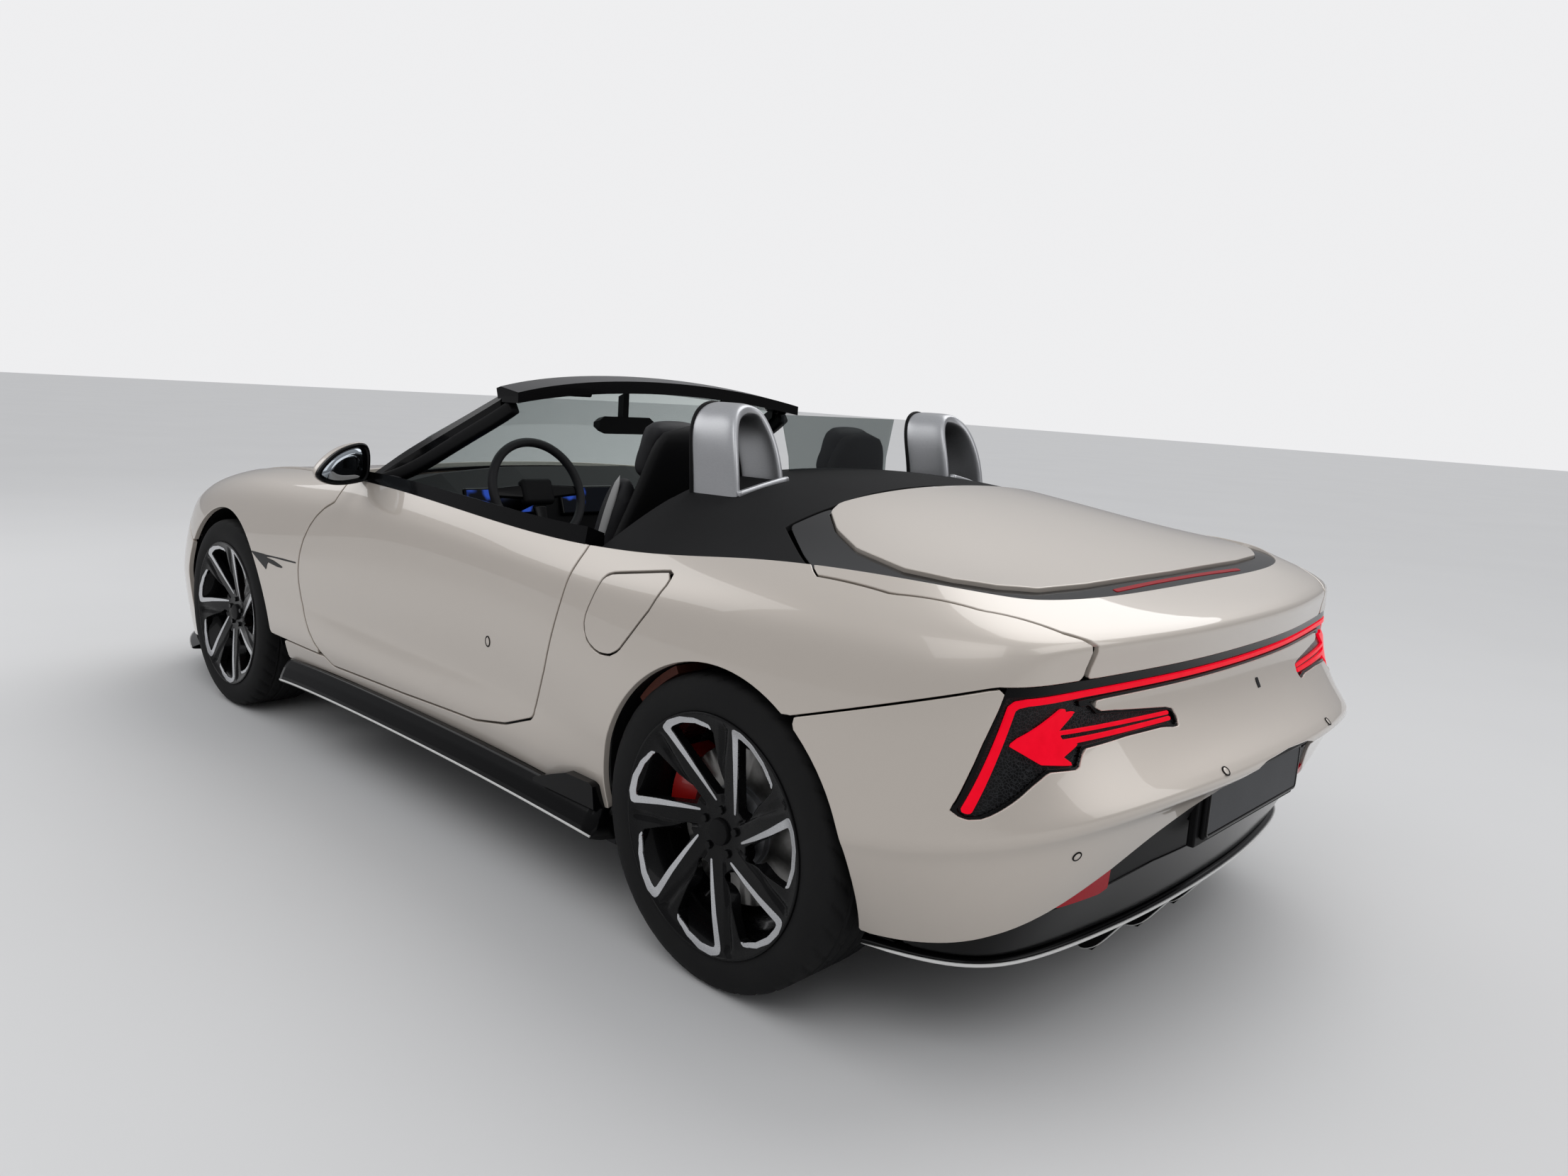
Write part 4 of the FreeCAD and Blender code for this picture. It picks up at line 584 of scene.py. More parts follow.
def make_finishes(look):
    """All materials, by the name of the record's slot or of the place they cover."""
    for name, sockets, cloud, low, high, rough, (scale, detail, share), bump in PLAIN_FINISHES:
        s = Shade(name, **sockets)
        grain = s.noise(scale, detail)
        s.set(Base_Color=s.tint(s.noise(*cloud), tone(*low), tone(*high)), Roughness=rough + grain * share)
        if bump:
            s.bump(grain, *bump)

    s = Shade("body_paint", Metallic=0.25, Coat_Weight=1.0, Coat_Roughness=0.03, Coat_IOR=1.5)
    flakes = s.cells(2600.0)
    s.set(Base_Color=s.tint(s.noise(3.0, 2.0), tone(*[c * 0.985 for c in look.paint_tone]), tone(*look.paint_tone)),
          Roughness=0.36 + flakes * 0.05)

    s = Shade("lamp_red", Coat_Weight=0.0, Specular_IOR_Level=0.05, Emission_Strength=1.0)
    s.set(Base_Color=s.tint(s.noise(60.0), tone(70, 3, 8), tone(96, 6, 12)), Roughness=0.2 + s.noise(90.0) * 0.05,
          Emission_Color=s.tint(s.noise(30.0), (0.66, 0.001, 0.012), (0.84, 0.003, 0.022)))

    # Red of the reflectors and of the brake lamp line. Its faint emission is a painted glow: on the reflectors, which
    # are no lamps, it stands in for light that they only reflect.
    s = Shade("reflector_red_glow", Specular_IOR_Level=0.06, Emission_Strength=0.12)
    s.set(Emission_Color=s.tint(s.noise(30.0), (0.5, 0.0, 0.02), (0.7, 0.0, 0.03)),
          Base_Color=s.tint(s.cells(500.0), tone(112, 5, 12), tone(150, 8, 18)), Roughness=0.2 + s.noise(90.0) * 0.05)

    s = Shade("lamp_dark", IOR=1.25, Coat_Weight=0.3, Coat_Roughness=0.03, Coat_IOR=1.25)
    edge = s.cells(170.0, "DISTANCE_TO_EDGE").smooth(0.02, 0.12)
    s.set(Base_Color=s.tint(edge, tone(34, 35, 38), tone(5, 5, 6)), Roughness=0.34 - edge * 0.12)
    s.bump(edge, 0.5, 0.001)

    s = Shade("lamp_white", Emission_Strength=0.7)
    s.set(Base_Color=s.tint(s.noise(50.0), tone(226, 230, 236), tone(240, 242, 246)),
          Roughness=0.25 + s.noise(80.0) * 0.05,
          Emission_Color=s.tint(s.noise(20.0), (0.78, 0.84, 0.95), (0.9, 0.94, 1.0)))

    s = Shade("silver", Metallic=0.85)
    brushed = s.noise(120.0, 4.0, s.place((1.0, 1.0, 9.0)))
    s.set(Base_Color=s.tint(brushed, tone(172, 173, 176), tone(196, 197, 199)), Roughness=0.3 + brushed * 0.1)
    s.bump(brushed, 0.04, 0.0004)

    s = Shade("machined", Metallic=0.9)
    lines = s.noise(700.0, 3.0, s.place((1.0, 0.1, 1.0)))
    s.set(Base_Color=s.tint(lines, tone(186, 187, 190), tone(214, 215, 217)), Roughness=0.22 + lines * 0.12)

    for name, level, low, high, rough in (("seat_leather", 0.2, (32, 32, 34), (44, 44, 46), 0.48),
                                          ("pale_leather", 0.25, (150, 150, 150), (172, 172, 171), 0.46)):
        s = Shade(name, Specular_IOR_Level=level)
        s.set(Base_Color=s.tint(s.noise(9.0), tone(*low), tone(*high)), Roughness=rough + s.noise(150.0) * 0.12)
        s.bump(s.cells(620.0, "DISTANCE_TO_EDGE"), 0.16, 0.0005)

    s = Shade("screen_glow", Specular_IOR_Level=0.05, Roughness=0.3, Emission_Strength=0.5)
    glow = s.noise(9.0, 2.0)
    s.set(Base_Color=s.tint(glow, tone(5, 6, 8), tone(9, 10, 14)),
          Emission_Color=s.tint(glow.smooth(0.56, 0.64), (0.004, 0.005, 0.008), (0.04, 0.12, 0.7)))

    for name, tint, share in (("clear_glass", tone(205, 216, 214), 0.06), ("smoked_glass", tone(40, 41, 44), 0.38)):
        s = Shade(name, Coat_Weight=0.0)
        streak = s.noise(4.0, 2.0)
        s.set(Base_Color=s.tint(streak, tint, tuple(c * 0.94 for c in tint)), Roughness=0.03 + streak * 0.02)
        clear = s.node("ShaderNodeBsdfTransparent", {}, {"Color": (0.9, 0.94, 0.93)})
        shine = s.node("ShaderNodeLayerWeight", {}, {"Blend": 0.5}, "Facing") ** 3.0 * 0.6 + share
        mixed = s.node("ShaderNodeMixShader", {}, {0: shine, 1: clear, 2: Wire(s, s.shader.outputs[0])})
        s.feed(s.tree.nodes["Material Output"].inputs["Surface"], mixed)


NODE_FINISH = {
    "body_paint": ("side_panels", "front_wings", "front_bumper", "rear_bumper", "boot_lid", "bonnet", "door_left",
                   "door_right", "charge_flap", "mirror_left", "mirror_right"),
    "gloss_black": ("boot_band", "boot_panel", "screen_frame", "headlamps", "door_belt_left", "door_belt_right"),
    "satin_black": ("cowl_panel", "diffuser", "front_grille", "side_skirts", "plate_holder", "arch_liners",
                    "centre_console", "charge_socket", "dashboard", "inner_mirror", "steering_column",
                    "steering_wheel"),
    "cover_black": ("deck_cover",),
    "lamp_dark": ("tail_lamps",),
    "silver": ("roll_hoops",),
    "structure": ("floor_tub", "drive_blocks"),
    "cast_case": ("front_arms", "rear_hubs", "knuckle_left", "knuckle_right"),
    "caliper_red": ("rear_calipers", "caliper_left", "caliper_right"),
    "wheel_black": ("rim_front_left", "rim_front_right", "rim_rear_left", "rim_rear_right"),
    "tyre": ("tyre_front_left", "tyre_front_right", "tyre_rear_left", "tyre_rear_right"),
    "seat_leather": ("seats",),
    "clear_glass": ("windscreen",),
    "smoked_glass": ("wind_blocker",),
}


def finish_frame():
    """Every node of the frame gets its finish, also those that a finer piece stands for."""
    for name, nodes in NODE_FINISH.items():
        for node in nodes:
            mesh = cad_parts[node].data
            mesh.materials.clear()
            mesh.materials.append(FINISHES[name])
            mesh.polygons.foreach_set("use_smooth", np.full(len(mesh.polygons), True))
            mesh.set_sharp_from_angle(angle=math.radians(32))


# Body

SHEETS = {}


def body_sheets(look):
    """The three surfaces that all panels are cut from, and the plan of the body's top edge."""
    cell = look.cell * 1000
    SHEETS["side"] = Sheet(body_poles(), cell)
    SHEETS["deck"] = Sheet(height_poles(DECK_D, DECK_Y, DECK_Z), cell, flip=True)
    SHEETS["hood"] = Sheet(height_poles(HOOD_D, HOOD_Y, HOOD_Z), cell, flip=True)
    poles = body_poles()
    t = even_steps(poles, 0, 30.0)
    top = Sheet.at(poles, t, np.array([poles.shape[1] - 3.0]))[:, 0, :2]
    SHEETS["top_edge"] = [(top[0, 0], -500.0)] + [tuple(p) for p in top] + [(top[-1, 0], -500.0)]


def coords(sheet):
    """The three coordinates of a sheet's points."""
    return sheet.points[..., 0], sheet.points[..., 1], sheet.points[..., 2]


def past_centre(rows):
    """Half outline in plan, carried over the centre line so that no edge lies on it."""
    return [(rows[0][0], -500)] + list(rows) + [(rows[-1][0], -500)]


def lid_level(d, y, grow):
    """Distance into the boot lid's outline in plan, the outline grown by so much."""
    half = [(p[0] + (grow if k == 0 else 0), p[1] + grow) for k, p in enumerate(LID_SHUTLINE)]
    half[5] = (half[5][0] - grow * 0.9, half[5][1])
    half[6] = (half[6][0] - grow * 0.9, half[6][1])
    return inside(d, np.abs(y), past_centre(half))


def arch_level(d, z, arch):
    """Distance out of the circle of a wheel arch."""
    return np.hypot(d - arch[0], z - arch[1]) - arch[2]


def build_body_panels():
    """Quarters, flap, wings, nose, tail and doors: where the least of a panel's distances is positive."""
    side = SHEETS["side"]
    d, y, z = coords(side)
    door = inside(d, z, DOOR_OUTLINE)
    arches = np.minimum(arch_level(d, z, ARCH_REAR), arch_level(d, z, ARCH_FRONT))
    lamp = np.minimum(inside(y, z, LAMP_OUTLINE), -480 - d)
    headlamp = np.minimum(inside(y, z, HEADLAMP_OUTLINE), d - 3100)
    flap = inside(d, z, FLAP_OUTLINE)

    outline = ((-900, 802), (-609, 802), SEAM_FRONT, (-100, 300), (-100, 290), (2180, 285), (2180, 348),
               (1800, 348), (1800, 1100), (-900, 1100))
    quarter = np.minimum(inside(d, z, outline), -door - 7)
    quarter = np.minimum(quarter, arches)
    quarter = np.minimum(quarter, -np.minimum(lid_level(d, y, 6), z - 780))
    quarter = np.minimum(quarter, -lamp - 1.2) + 1.2
    add_panel("quarter_left", side, np.minimum(quarter, -flap - 5), "body_paint", "body", ("side_panels",),
              "left")
    add_panel("quarter_right", side, quarter, "body_paint", "body", ("side_panels",), "right")
    add_panel("flap_skin", side, flap, "body_paint", "charge_flap", ("charge_flap",), "left", depth=5.0,
              radius=1.2)

    outline = ((1800, 354), (2700, 354), (2700, 580), (3010, 580), (3335, 700), (3335, 1100), (1806, 1100))
    wing = np.minimum.reduce([inside(d, z, outline), -door - 7, arches, -headlamp])
    add_panel("wing", side, wing, "body_paint", "body", ("front_wings",), "pair")

    outline = ((2706, 60), (2706, 574), (3013, 574), (3341, 696), (3341, 1100), (3900, 1100), (3900, 60))
    intake = np.minimum(inside(np.abs(y), z, [(-600, 190)] + list(INTAKE_OUTLINE[1:]) + [(-600, 372)]), d - 3200)
    nose = np.minimum.reduce([inside(d, z, outline), arches, -headlamp, -intake])
    add_panel("nose", side, nose, "body_paint", "body", ("front_bumper",), "both")

    outline = ((-1100, 200), (-1100, 799), (-622, 799), (-175, 652), (-175, 200))
    bar = np.minimum(band(z, BAR_LOW, 900), 700 - y)
    below = inside(y, z, [(-500, 100), (-500, 596)] + list(TAIL_EDGE) + [(1000, 100)])
    pocket = np.minimum.reduce([PLATE_POCKET_Y - np.abs(y), band(z, *PLATE_POCKET_Z), -766 - d])
    tail = np.minimum.reduce([inside(d, z, outline), arches, -lamp, -bar, -np.minimum(below, -100 - d), -pocket])
    add_panel("tail", side, tail, "body_paint", "body", ("rear_bumper",), "both", edge=-1.2)

    for suffix, body, kind in (("left", "door_left", "left"), ("right", "door_right", "right")):
        add_panel("door_skin_" + suffix, side, door, "body_paint", body, ("door_" + suffix,), kind, depth=30.0)
        card = Sheet(body_poles(), 38.0)
        level = inside(card.points[..., 0], card.points[..., 2], DOOR_OUTLINE) - 9
        add_panel("door_card_" + suffix, card.lowered(30.5), level, "seat_leather", body, ("door_" + suffix,),
                  kind, depth=62.0, radius=6.0)


def build_lids():
    """Boot lid's edge, band and panel, deck cover and bonnet."""
    side, deck, hood = SHEETS["side"], SHEETS["deck"], SHEETS["hood"]
    d, y, z = coords(side)
    lip = np.minimum.reduce([lid_level(d, y, 0), z - 802, 96 - d])
    add_panel("lid_edge", side, lip, "body_paint", "boot_lid", ("boot_lid",), "both", depth=12.0, edge=-1.5)

    d, y, z = coords(deck)
    edge = inside(d, np.abs(y), SHEETS["top_edge"])
    centre = inside(d, np.abs(y), past_centre(PANEL_OUTLINE))
    add_panel("lid_band", deck.lowered(6), np.minimum.reduce([edge - 1, lid_level(d, y, 0), -centre - 2]),
              "gloss_black", "boot_lid", ("boot_band",), "whole", depth=14.0)
    add_panel("lid_panel", deck.lowered(-3), centre, "body_paint", "boot_lid", ("boot_panel",), "whole",
              depth=20.0)
    swing = d - 104 - 0.8 * np.maximum(z - 1040, 0)
    cover = np.minimum.reduce([edge - 3, -lid_level(d, y, 8), np.where(np.abs(y) < 640, swing, 50.0),
                               inside(d, np.abs(y), [(-300, -500), (-300, 900), (640, 900), (700, 835), (620, 640),
                                                     (560, 600), (560, -500)])])
    add_panel("cover_skin", deck.lowered(6), cover, "cover_black", "body", ("deck_cover",), "whole", depth=14.0)

    d, y, z = coords(hood)
    edge = inside(d, np.abs(y), SHEETS["top_edge"])
    bonnet = np.minimum(edge - 6, inside(d, np.abs(y), [(2175, -500)] + list(BONNET_OUTLINE[1:-1]) + [(3500, -500)]))
    add_panel("bonnet_skin", hood, bonnet, "body_paint", "bonnet", ("bonnet",), "whole", depth=16.0)


def sheet_from(points, flip=False, wrap=False):
    """Sheet from a grid of points, its normals from the differences of neighbours. With wrap the last row of
    points repeats the first."""
    made = object.__new__(Sheet)
    du, dv = np.gradient(points, axis=0), np.gradient(points, axis=1)
    if wrap:
        du[0] = du[-1] = (points[1] - points[-2]) / 2
    normals = np.cross(dv, du) if not flip else np.cross(du, dv)
    made.points, made.flip, made.wrap = points, flip, wrap
    made.normals = normals / np.maximum(np.linalg.norm(normals, axis=2, keepdims=True), 1e-12)
    return made


def path_level(a, b, rows):
    """Signed distance into a stroke along a broken line; each row is a point and the half width there."""
    best = np.full(a.shape, -1e9)
    for (x0, y0, w0), (x1, y1, w1) in zip(rows[:-1], rows[1:]):
        ex, ey = x1 - x0, y1 - y0
        t = np.clip(((a - x0) * ex + (b - y0) * ey) / max(ex * ex + ey * ey, 1e-12), 0, 1)
        best = np.maximum(best, w0 + (w1 - w0) * t - np.hypot(a - x0 - t * ex, b - y0 - t * ey))
    return best


def curve(rows, count):
    """Points on the clamped cubic spline with the given control rows."""
    rows = np.array(rows, float)
    return cubic_weights(len(rows), np.linspace(0, len(rows) - 3, count)) @ rows


def closed_grid(rings, closed_u=False):
    """Points and quads of a tube of rings; without closed_u both ends are capped by a fan."""
    nu, nv = rings.shape[:2]
    index = np.arange(nu * nv).reshape(nu, nv)
    right = np.roll(index, -1, axis=1)
    a = index if closed_u else index[:-1]
    b = np.roll(index, -1, axis=0) if closed_u else index[1:]
    ra = right if closed_u else right[:-1]
    rb = np.roll(right, -1, axis=0) if closed_u else right[1:]
    faces = [np.stack([a, b, rb, ra], axis=-1).reshape(-1, 4)]
    points = rings.reshape(-1, 3)
    if not closed_u:
        points = np.concatenate([points, rings[0].mean(0)[None], rings[-1].mean(0)[None]])
        ends = np.full(nv, nu * nv)
        faces.append(np.stack([index[0], right[0], ends], axis=-1))
        faces.append(np.stack([right[-1], index[-1], ends + 1], axis=-1))
    return points, faces


def outward(points, faces):
    """The faces turned so that the volume they close is positive."""
    volume = 0.0
    for f in faces:
        for k in range(1, f.shape[1] - 1):
            volume += np.einsum("ij,ij->", points[f[:, 0]], np.cross(points[f[:, k]], points[f[:, k + 1]]))
    return faces if volume > 0 else [f[:, ::-1] for f in faces]


def superellipse(count, power):
    """Unit loop from a circle to a rounded square: each coordinate is the signed power of cosine and sine."""
    t = np.linspace(0, 2 * np.pi, count, endpoint=False)
    c, s = np.cos(t), np.sin(t)
    return np.sign(c) * np.abs(c) ** power, np.sign(s) * np.abs(s) ** power


def swept(path, across, half_a, half_b, power=0.6, count=40, closed=False):
    """Tube along a path. Its sections span the direction across, half_a each way, and the normal of path and
    across, half_b each way."""
    path = np.asarray(path, float)
    along = np.gradient(path, axis=0)
    if closed:
        along = (np.roll(path, -1, axis=0) - np.roll(path, 1, axis=0)) / 2
    along /= np.linalg.norm(along, axis=1, keepdims=True)
    across = np.broadcast_to(np.asarray(across, float), path.shape)
    across = across - along * (across * along).sum(1, keepdims=True)
    across = across / np.linalg.norm(across, axis=1, keepdims=True)
    over = np.cross(along, across)
    a, b = superellipse(count, power)
    half_a, half_b = (np.broadcast_to(np.asarray(h, float), len(path)) for h in (half_a, half_b))
    rings = (path[:, None] + across[:, None] * (half_a[:, None] * a)[..., None]
             + over[:, None] * (half_b[:, None] * b)[..., None])
    points, faces = closed_grid(rings, closed)
    return points, outward(points, faces)


def rounded_ends(count, sharp=0.35):
    """Factor along a path that closes its tube smoothly at both ends."""
    t = np.linspace(-1, 1, count)
    return np.maximum(1 - np.abs(t) ** (2 / sharp), 0.0) ** 0.5 * 0.999 + 0.001


def mirrored(points, faces):
    """The shape on the other side of the car, still facing outwards."""
    return points * MIRROR_Y, [f[:, ::-1] for f in faces]


def add_pair(name, points, faces, material, bodies, nodes=(), smooth=True):
    """The same piece on the left and mirrored on the right. Bodies and nodes may differ by side."""
    one, two = (bodies, bodies) if isinstance(bodies, str) else bodies
    left_nodes, right_nodes = nodes if nodes and not isinstance(nodes[0], str) else (nodes, nodes)
    add_mesh(name + "_left", points, faces, material, one, smooth=smooth, replaces=left_nodes)
    add_mesh(name + "_right", *mirrored(points, faces), material, two, smooth=smooth, replaces=right_nodes)


def block_mesh(centre, half, radius, segments=3):
    """Box with rounded edges, in mm from the rear axle, as points and faces."""
    import bmesh
    shape = bmesh.new()
    bmesh.ops.create_cube(shape, size=2.0)
    bmesh.ops.scale(shape, vec=half, verts=shape.verts)
    bmesh.ops.bevel(shape, geom=shape.edges[:], offset=radius, segments=segments, profile=0.5, affect="EDGES")
    mesh = bpy.data.meshes.new("block")
    shape.to_mesh(mesh)
    shape.free()
    points = np.empty(len(mesh.vertices) * 3, np.float32)
    mesh.vertices.foreach_get("co", points)
    faces = [np.array([p.vertices[:]]) for p in mesh.polygons]
    bpy.data.meshes.remove(mesh)
    return points.reshape(-1, 3).astype(float) + centre, faces


# Wheels: profiles are (distance inwards from the tyre's face, radius) in mm

FACE_PROFILE = ((44, 23), (44, 45), (43, 62), (40, 76), (33, 110), (24, 160), (17, 205), (13, 240), (9, 254),
                (5, 262), (4, 266))
WINDOW = ((84, 30), (250, 3.5), (254, 12), (251, 22), (243, 30), (228, 36.5), (92, 47))
HOOK = ((72, 27.5, 3.0), (120, 13.5, 5.4), (180, 6.4, 7.2), (252, 1.6, 9.0), (257, 6, 8.2), (256, 14, 7.2),
        (249, 24, 6.2), (240, 32, 5.2), (236, 35, 4.2))
RIB = ((70, -6, 5.0), (150, -8, 7.0), (246, -6, 9.0))
WHEELS = (
    ("front_left", WHEELBASE * 1000, 1, 704.0, 245.0, 930.0),
    ("front_right", WHEELBASE * 1000, -1, 704.0, 245.0, 930.0),
    ("rear_left", 0.0, 1, 700.0, 275.0, 948.0),
    ("rear_right", 0.0, -1, 700.0, 275.0, 948.0),
)
SECTOR = 2 * math.pi / 7


def polar_rows(rows):
    """Rows of radius and degrees as points of a plane, with what follows them."""
    return [(r * math.cos(math.radians(a)), r * math.sin(math.radians(a)), *rest) for r, a, *rest in rows]


def folded(radius, angle, middle):
    """Plane coordinates of points turned into the sector round a middle angle."""
    turned = (angle - middle + SECTOR / 2) % SECTOR - SECTOR / 2 + middle
    return radius * np.cos(turned), radius * np.sin(turned)


def wheel_point(radius, angle, depth, dia, y_face, d):
    """Point at a radius and angle round the wheel's axis, so deep behind the tyre's face."""
    return np.stack([d + radius * np.cos(angle), y_face - depth + 0 * angle,
                     dia / 2 + radius * np.sin(angle)], axis=-1)


def ring_piece(name, profile, material, body, wheel, nodes, slot, count=132):
    """Closed ring from a profile."""
    _, d, side, dia, _, y_face = wheel
    profile = np.array(profile, float)
    angle = np.linspace(0, 2 * np.pi, count, endpoint=False)[:, None]
    rings = wheel_point(profile[:, 1][None], angle, profile[:, 0][None] + 0 * angle, dia, y_face, d)
    points, faces = closed_grid(rings, closed_u=True)
    faces = outward(points, faces)
    shape = (points, faces) if side > 0 else mirrored(points, faces)
    piece = add_mesh(name, *shape, material, body, replaces=nodes, slot=slot)
    piece.data.set_sharp_from_angle(angle=math.radians(35))
    return piece


def tyre_points(wheel):
    """Tyre as a torus grid: spline section, with grooves as a smooth drop of the radius in the tread."""
    _, d, _, dia, width, y_face = wheel
    r, bead = dia / 2, 256.3
    section = [(14, bead), (9, bead + 10), (1, 0.6 * bead + 0.4 * r), (4, r - 30), (14, r - 6), (34, r), (60, r),
               (width / 2, r), (width - 60, r), (width - 34, r), (width - 14, r - 6), (width - 4, r - 30),
               (width - 1, 0.6 * bead + 0.4 * r), (width - 9, bead + 10), (width - 14, bead)]
    fine = curve(section, 1200)
    length = np.concatenate([[0], np.cumsum(np.linalg.norm(np.diff(fine, axis=0), axis=1))])
    density = np.where(fine[:, 1] > r - 12, 3.2, 0.9)[:-1] * np.diff(length)
    run = np.concatenate([[0], np.cumsum(density)])
    at = np.linspace(0, run[-1], 50)
    s, radius = np.interp(at, run, fine[:, 0]), np.interp(at, run, fine[:, 1])
    pitches = 38
    angle = np.linspace(0, 2 * np.pi, pitches * 6 + 1)[:-1, None]
    off = s[None] - width / 2
    tread = np.clip((radius[None] - (r - 14)) / 10, 0, 1)
    drop = np.zeros((len(angle), len(s)))
    for place in (-58, -20, 20, 58):
        drop = np.maximum(drop, np.clip(1.5 - np.abs(off - place) / 3.6, 0, 1))
    phase = (angle * pitches / (2 * np.pi) + np.abs(off) / 60) % 1
    shoulder = np.clip(1.4 - np.abs(phase - 0.5) / 0.07, 0, 1) * (np.abs(off) > 66)
    sipe = np.clip(1.4 - np.abs(phase - 0.5) / 0.06, 0, 1) * ((np.abs(off) > 24) & (np.abs(off) < 50)) * 0.7
    drop = np.maximum(drop, np.maximum(shoulder, sipe)) * tread * 5.5
    wall = 0.8 * np.exp(-((radius - 282) / 3.0) ** 2) + 0.6 * np.exp(-((radius - 322) / 2.0) ** 2)
    rings = wheel_point(radius[None] - drop, angle, s[None] + wall[None] * np.sign(off) * -0.5 + 0 * angle,
                        dia, y_face, d)
    inner = np.array([(width - 20, bead + 2), (width - 14, 310), (width - 50, r - 26), (50, r - 26), (14, 310),
                      (20, bead + 2)])
    inside_rings = wheel_point(inner[:, 1][None], angle, inner[:, 0][None] + 0 * angle, dia, y_face, d)
    rings = np.concatenate([rings, inside_rings], axis=1)
    return closed_grid(rings, closed_u=True)


def build_wheels():
    """Rims as a disc of revolution with windows and hooks in seven sectors, with discs, bolts and tyres."""
    columns = np.linspace(0, 2 * np.pi, 7 * 28 + 1)
    profile = curve(FACE_PROFILE, 400)
    radii = np.linspace(23.2, 265.8, 31)
    depth = np.interp(radii, profile[:, 1], profile[:, 0])
    angle, radius = np.meshgrid(columns, radii, indexing="ij")
    x, y = folded(radius, angle, math.radians(-4))
    rib = np.clip(path_level(x, y, polar_rows(RIB)) / 5.0, 0, 1)
    x, y = folded(radius, angle, math.radians(25))
    window = inside(x, y, polar_rows(WINDOW)) + 3.0
    hook = path_level(x, y, polar_rows(HOOK))
    x, y = folded(radius, angle, math.radians(0))
    hook = np.maximum(hook, path_level(x, y, polar_rows(HOOK)))
    for wheel in WHEELS:
        name, d, side, dia, width, y_face = wheel
        body = "wheel_" + name
        kind = "left" if side > 0 else "right"
        nodes = ("rim_" + name,)
        points = wheel_point(radius, angle, depth[None] + rib * 6.0, dia, y_face, d)
        face = sheet_from(points, wrap=True)
        if (face.normals[..., 1].mean()) < 0:
            face = sheet_from(points, flip=True, wrap=True)
        add_panel("rim_face_" + name, face, -window + 3.0, "wheel_black", body, nodes, kind, radius=2.5,
                  depth=24.0)
        flat = wheel_point(radius, angle, depth[None] + 0 * radius, dia, y_face, d)
        smooth = sheet_from(flat, flip=face.flip, wrap=True)
        add_panel("rim_hooks_" + name, smooth.lowered(-1.2), hook, "machined", body, nodes, kind, radius=0.8,
                  depth=4.0)
        ring_piece("rim_barrel_" + name, ((4, 264.5), (4.5, 267.5), (9, 268), (12, 258), (44, 256), (60, 240),
                   (150, 238), (width - 30, 255), (width - 13, 257), (width - 9, 267), (width - 5, 267),
                   (width - 6, 249), (width - 30, 246), (150, 229), (60, 231), (36, 246), (14, 254)),
                   "wheel_black", body, wheel, nodes, "wheel_black")
        ring_piece("rim_cap_" + name, ((34, 0.5), (34.5, 22), (36, 28.5), (39, 30), (46, 30), (46, 0.5)),
                   "satin_black", body, wheel, nodes, "wheel_black", 84)
        ring_piece("rim_bell_" + name, ((76, 23), (76, 62), (92, 90), (103, 92), (103, 96), (112, 96), (112, 84),
                   (100, 80), (88, 56), (88, 23)), "cast_case", body, wheel, nodes, "cast_case", 84)
        ring_piece("rim_disc_" + name, ((104, 93), (103.6, 95), (103.6, 178), (105, 180), (116, 180), (116, 150),
                   (122, 150), (122, 180), (133, 180), (134.4, 178), (134.4, 95), (133, 93)), "disc_steel", body,
                   wheel, nodes, "cast_case", 120)
        points, faces = tyre_points(wheel)
        faces = outward(points, faces)
        if side < 0:
            points, faces = mirrored(points, faces)
        piece = add_mesh("tyre_tread_" + name, points, faces, "tyre", body, replaces=("tyre_" + name,), slot="tyre")
        piece.data.set_sharp_from_angle(angle=math.radians(40))
        bolts(name, body, wheel)


def bolts(name, body, wheel):
    """Five wheel bolts in a ring round the cap, as six-sided heads."""
    _, d, side, dia, _, y_face = wheel
    turn = np.linspace(0, 2 * np.pi, 6, endpoint=False)
    points, faces, base = [], [], 0
    for k in range(5):
        a = math.radians(72 * k + 20)
        cx, cz = d + 50 * math.cos(a), dia / 2 + 50 * math.sin(a)
        rings = np.stack([np.stack([cx + r * np.cos(turn), np.full(6, y_face - s), cz + r * np.sin(turn)], axis=-1)
                          for s, r in ((47, 9.5), (38, 9.5), (36.5, 8.2))])
        p, f = closed_grid(rings)
        points.append(p)
        faces += [g + base for g in outward(p, f)]
        base += len(p)
    points = np.concatenate(points)
    if side < 0:
        points, faces = mirrored(points, faces)
    add_mesh("rim_bolts_" + name, points, faces, "wheel_black", body, smooth=False, replaces=("rim_" + name,))


# Lamps: outlines and strokes in y and z on the tail surface

LAMP_LEG = ((867, 572, 6.0), (806, 761, 6.5), (797, 768, 6.5), (776, 771, 6.0), (629, 773, 5.5), (0, 771, 5.0))
LAMP_HEAD = ((812, 694), (795, 707), (693, 752), (680, 752), (682, 745), (652, 745), (705, 714), (700, 700),
             (660, 686), (703, 668), (682, 652), (752, 658))
LAMP_ARMS = (((712, 710, 3.8), (362, 707, 3.8)), ((700, 693, 5.0), (362, 697, 4.0)))
LAMP_FRAME = 7.0
REFLECTOR = ((664, 345), (527, 416), (480, 348), (505, 338))
SENSORS = ((680, 477), (300, 600))


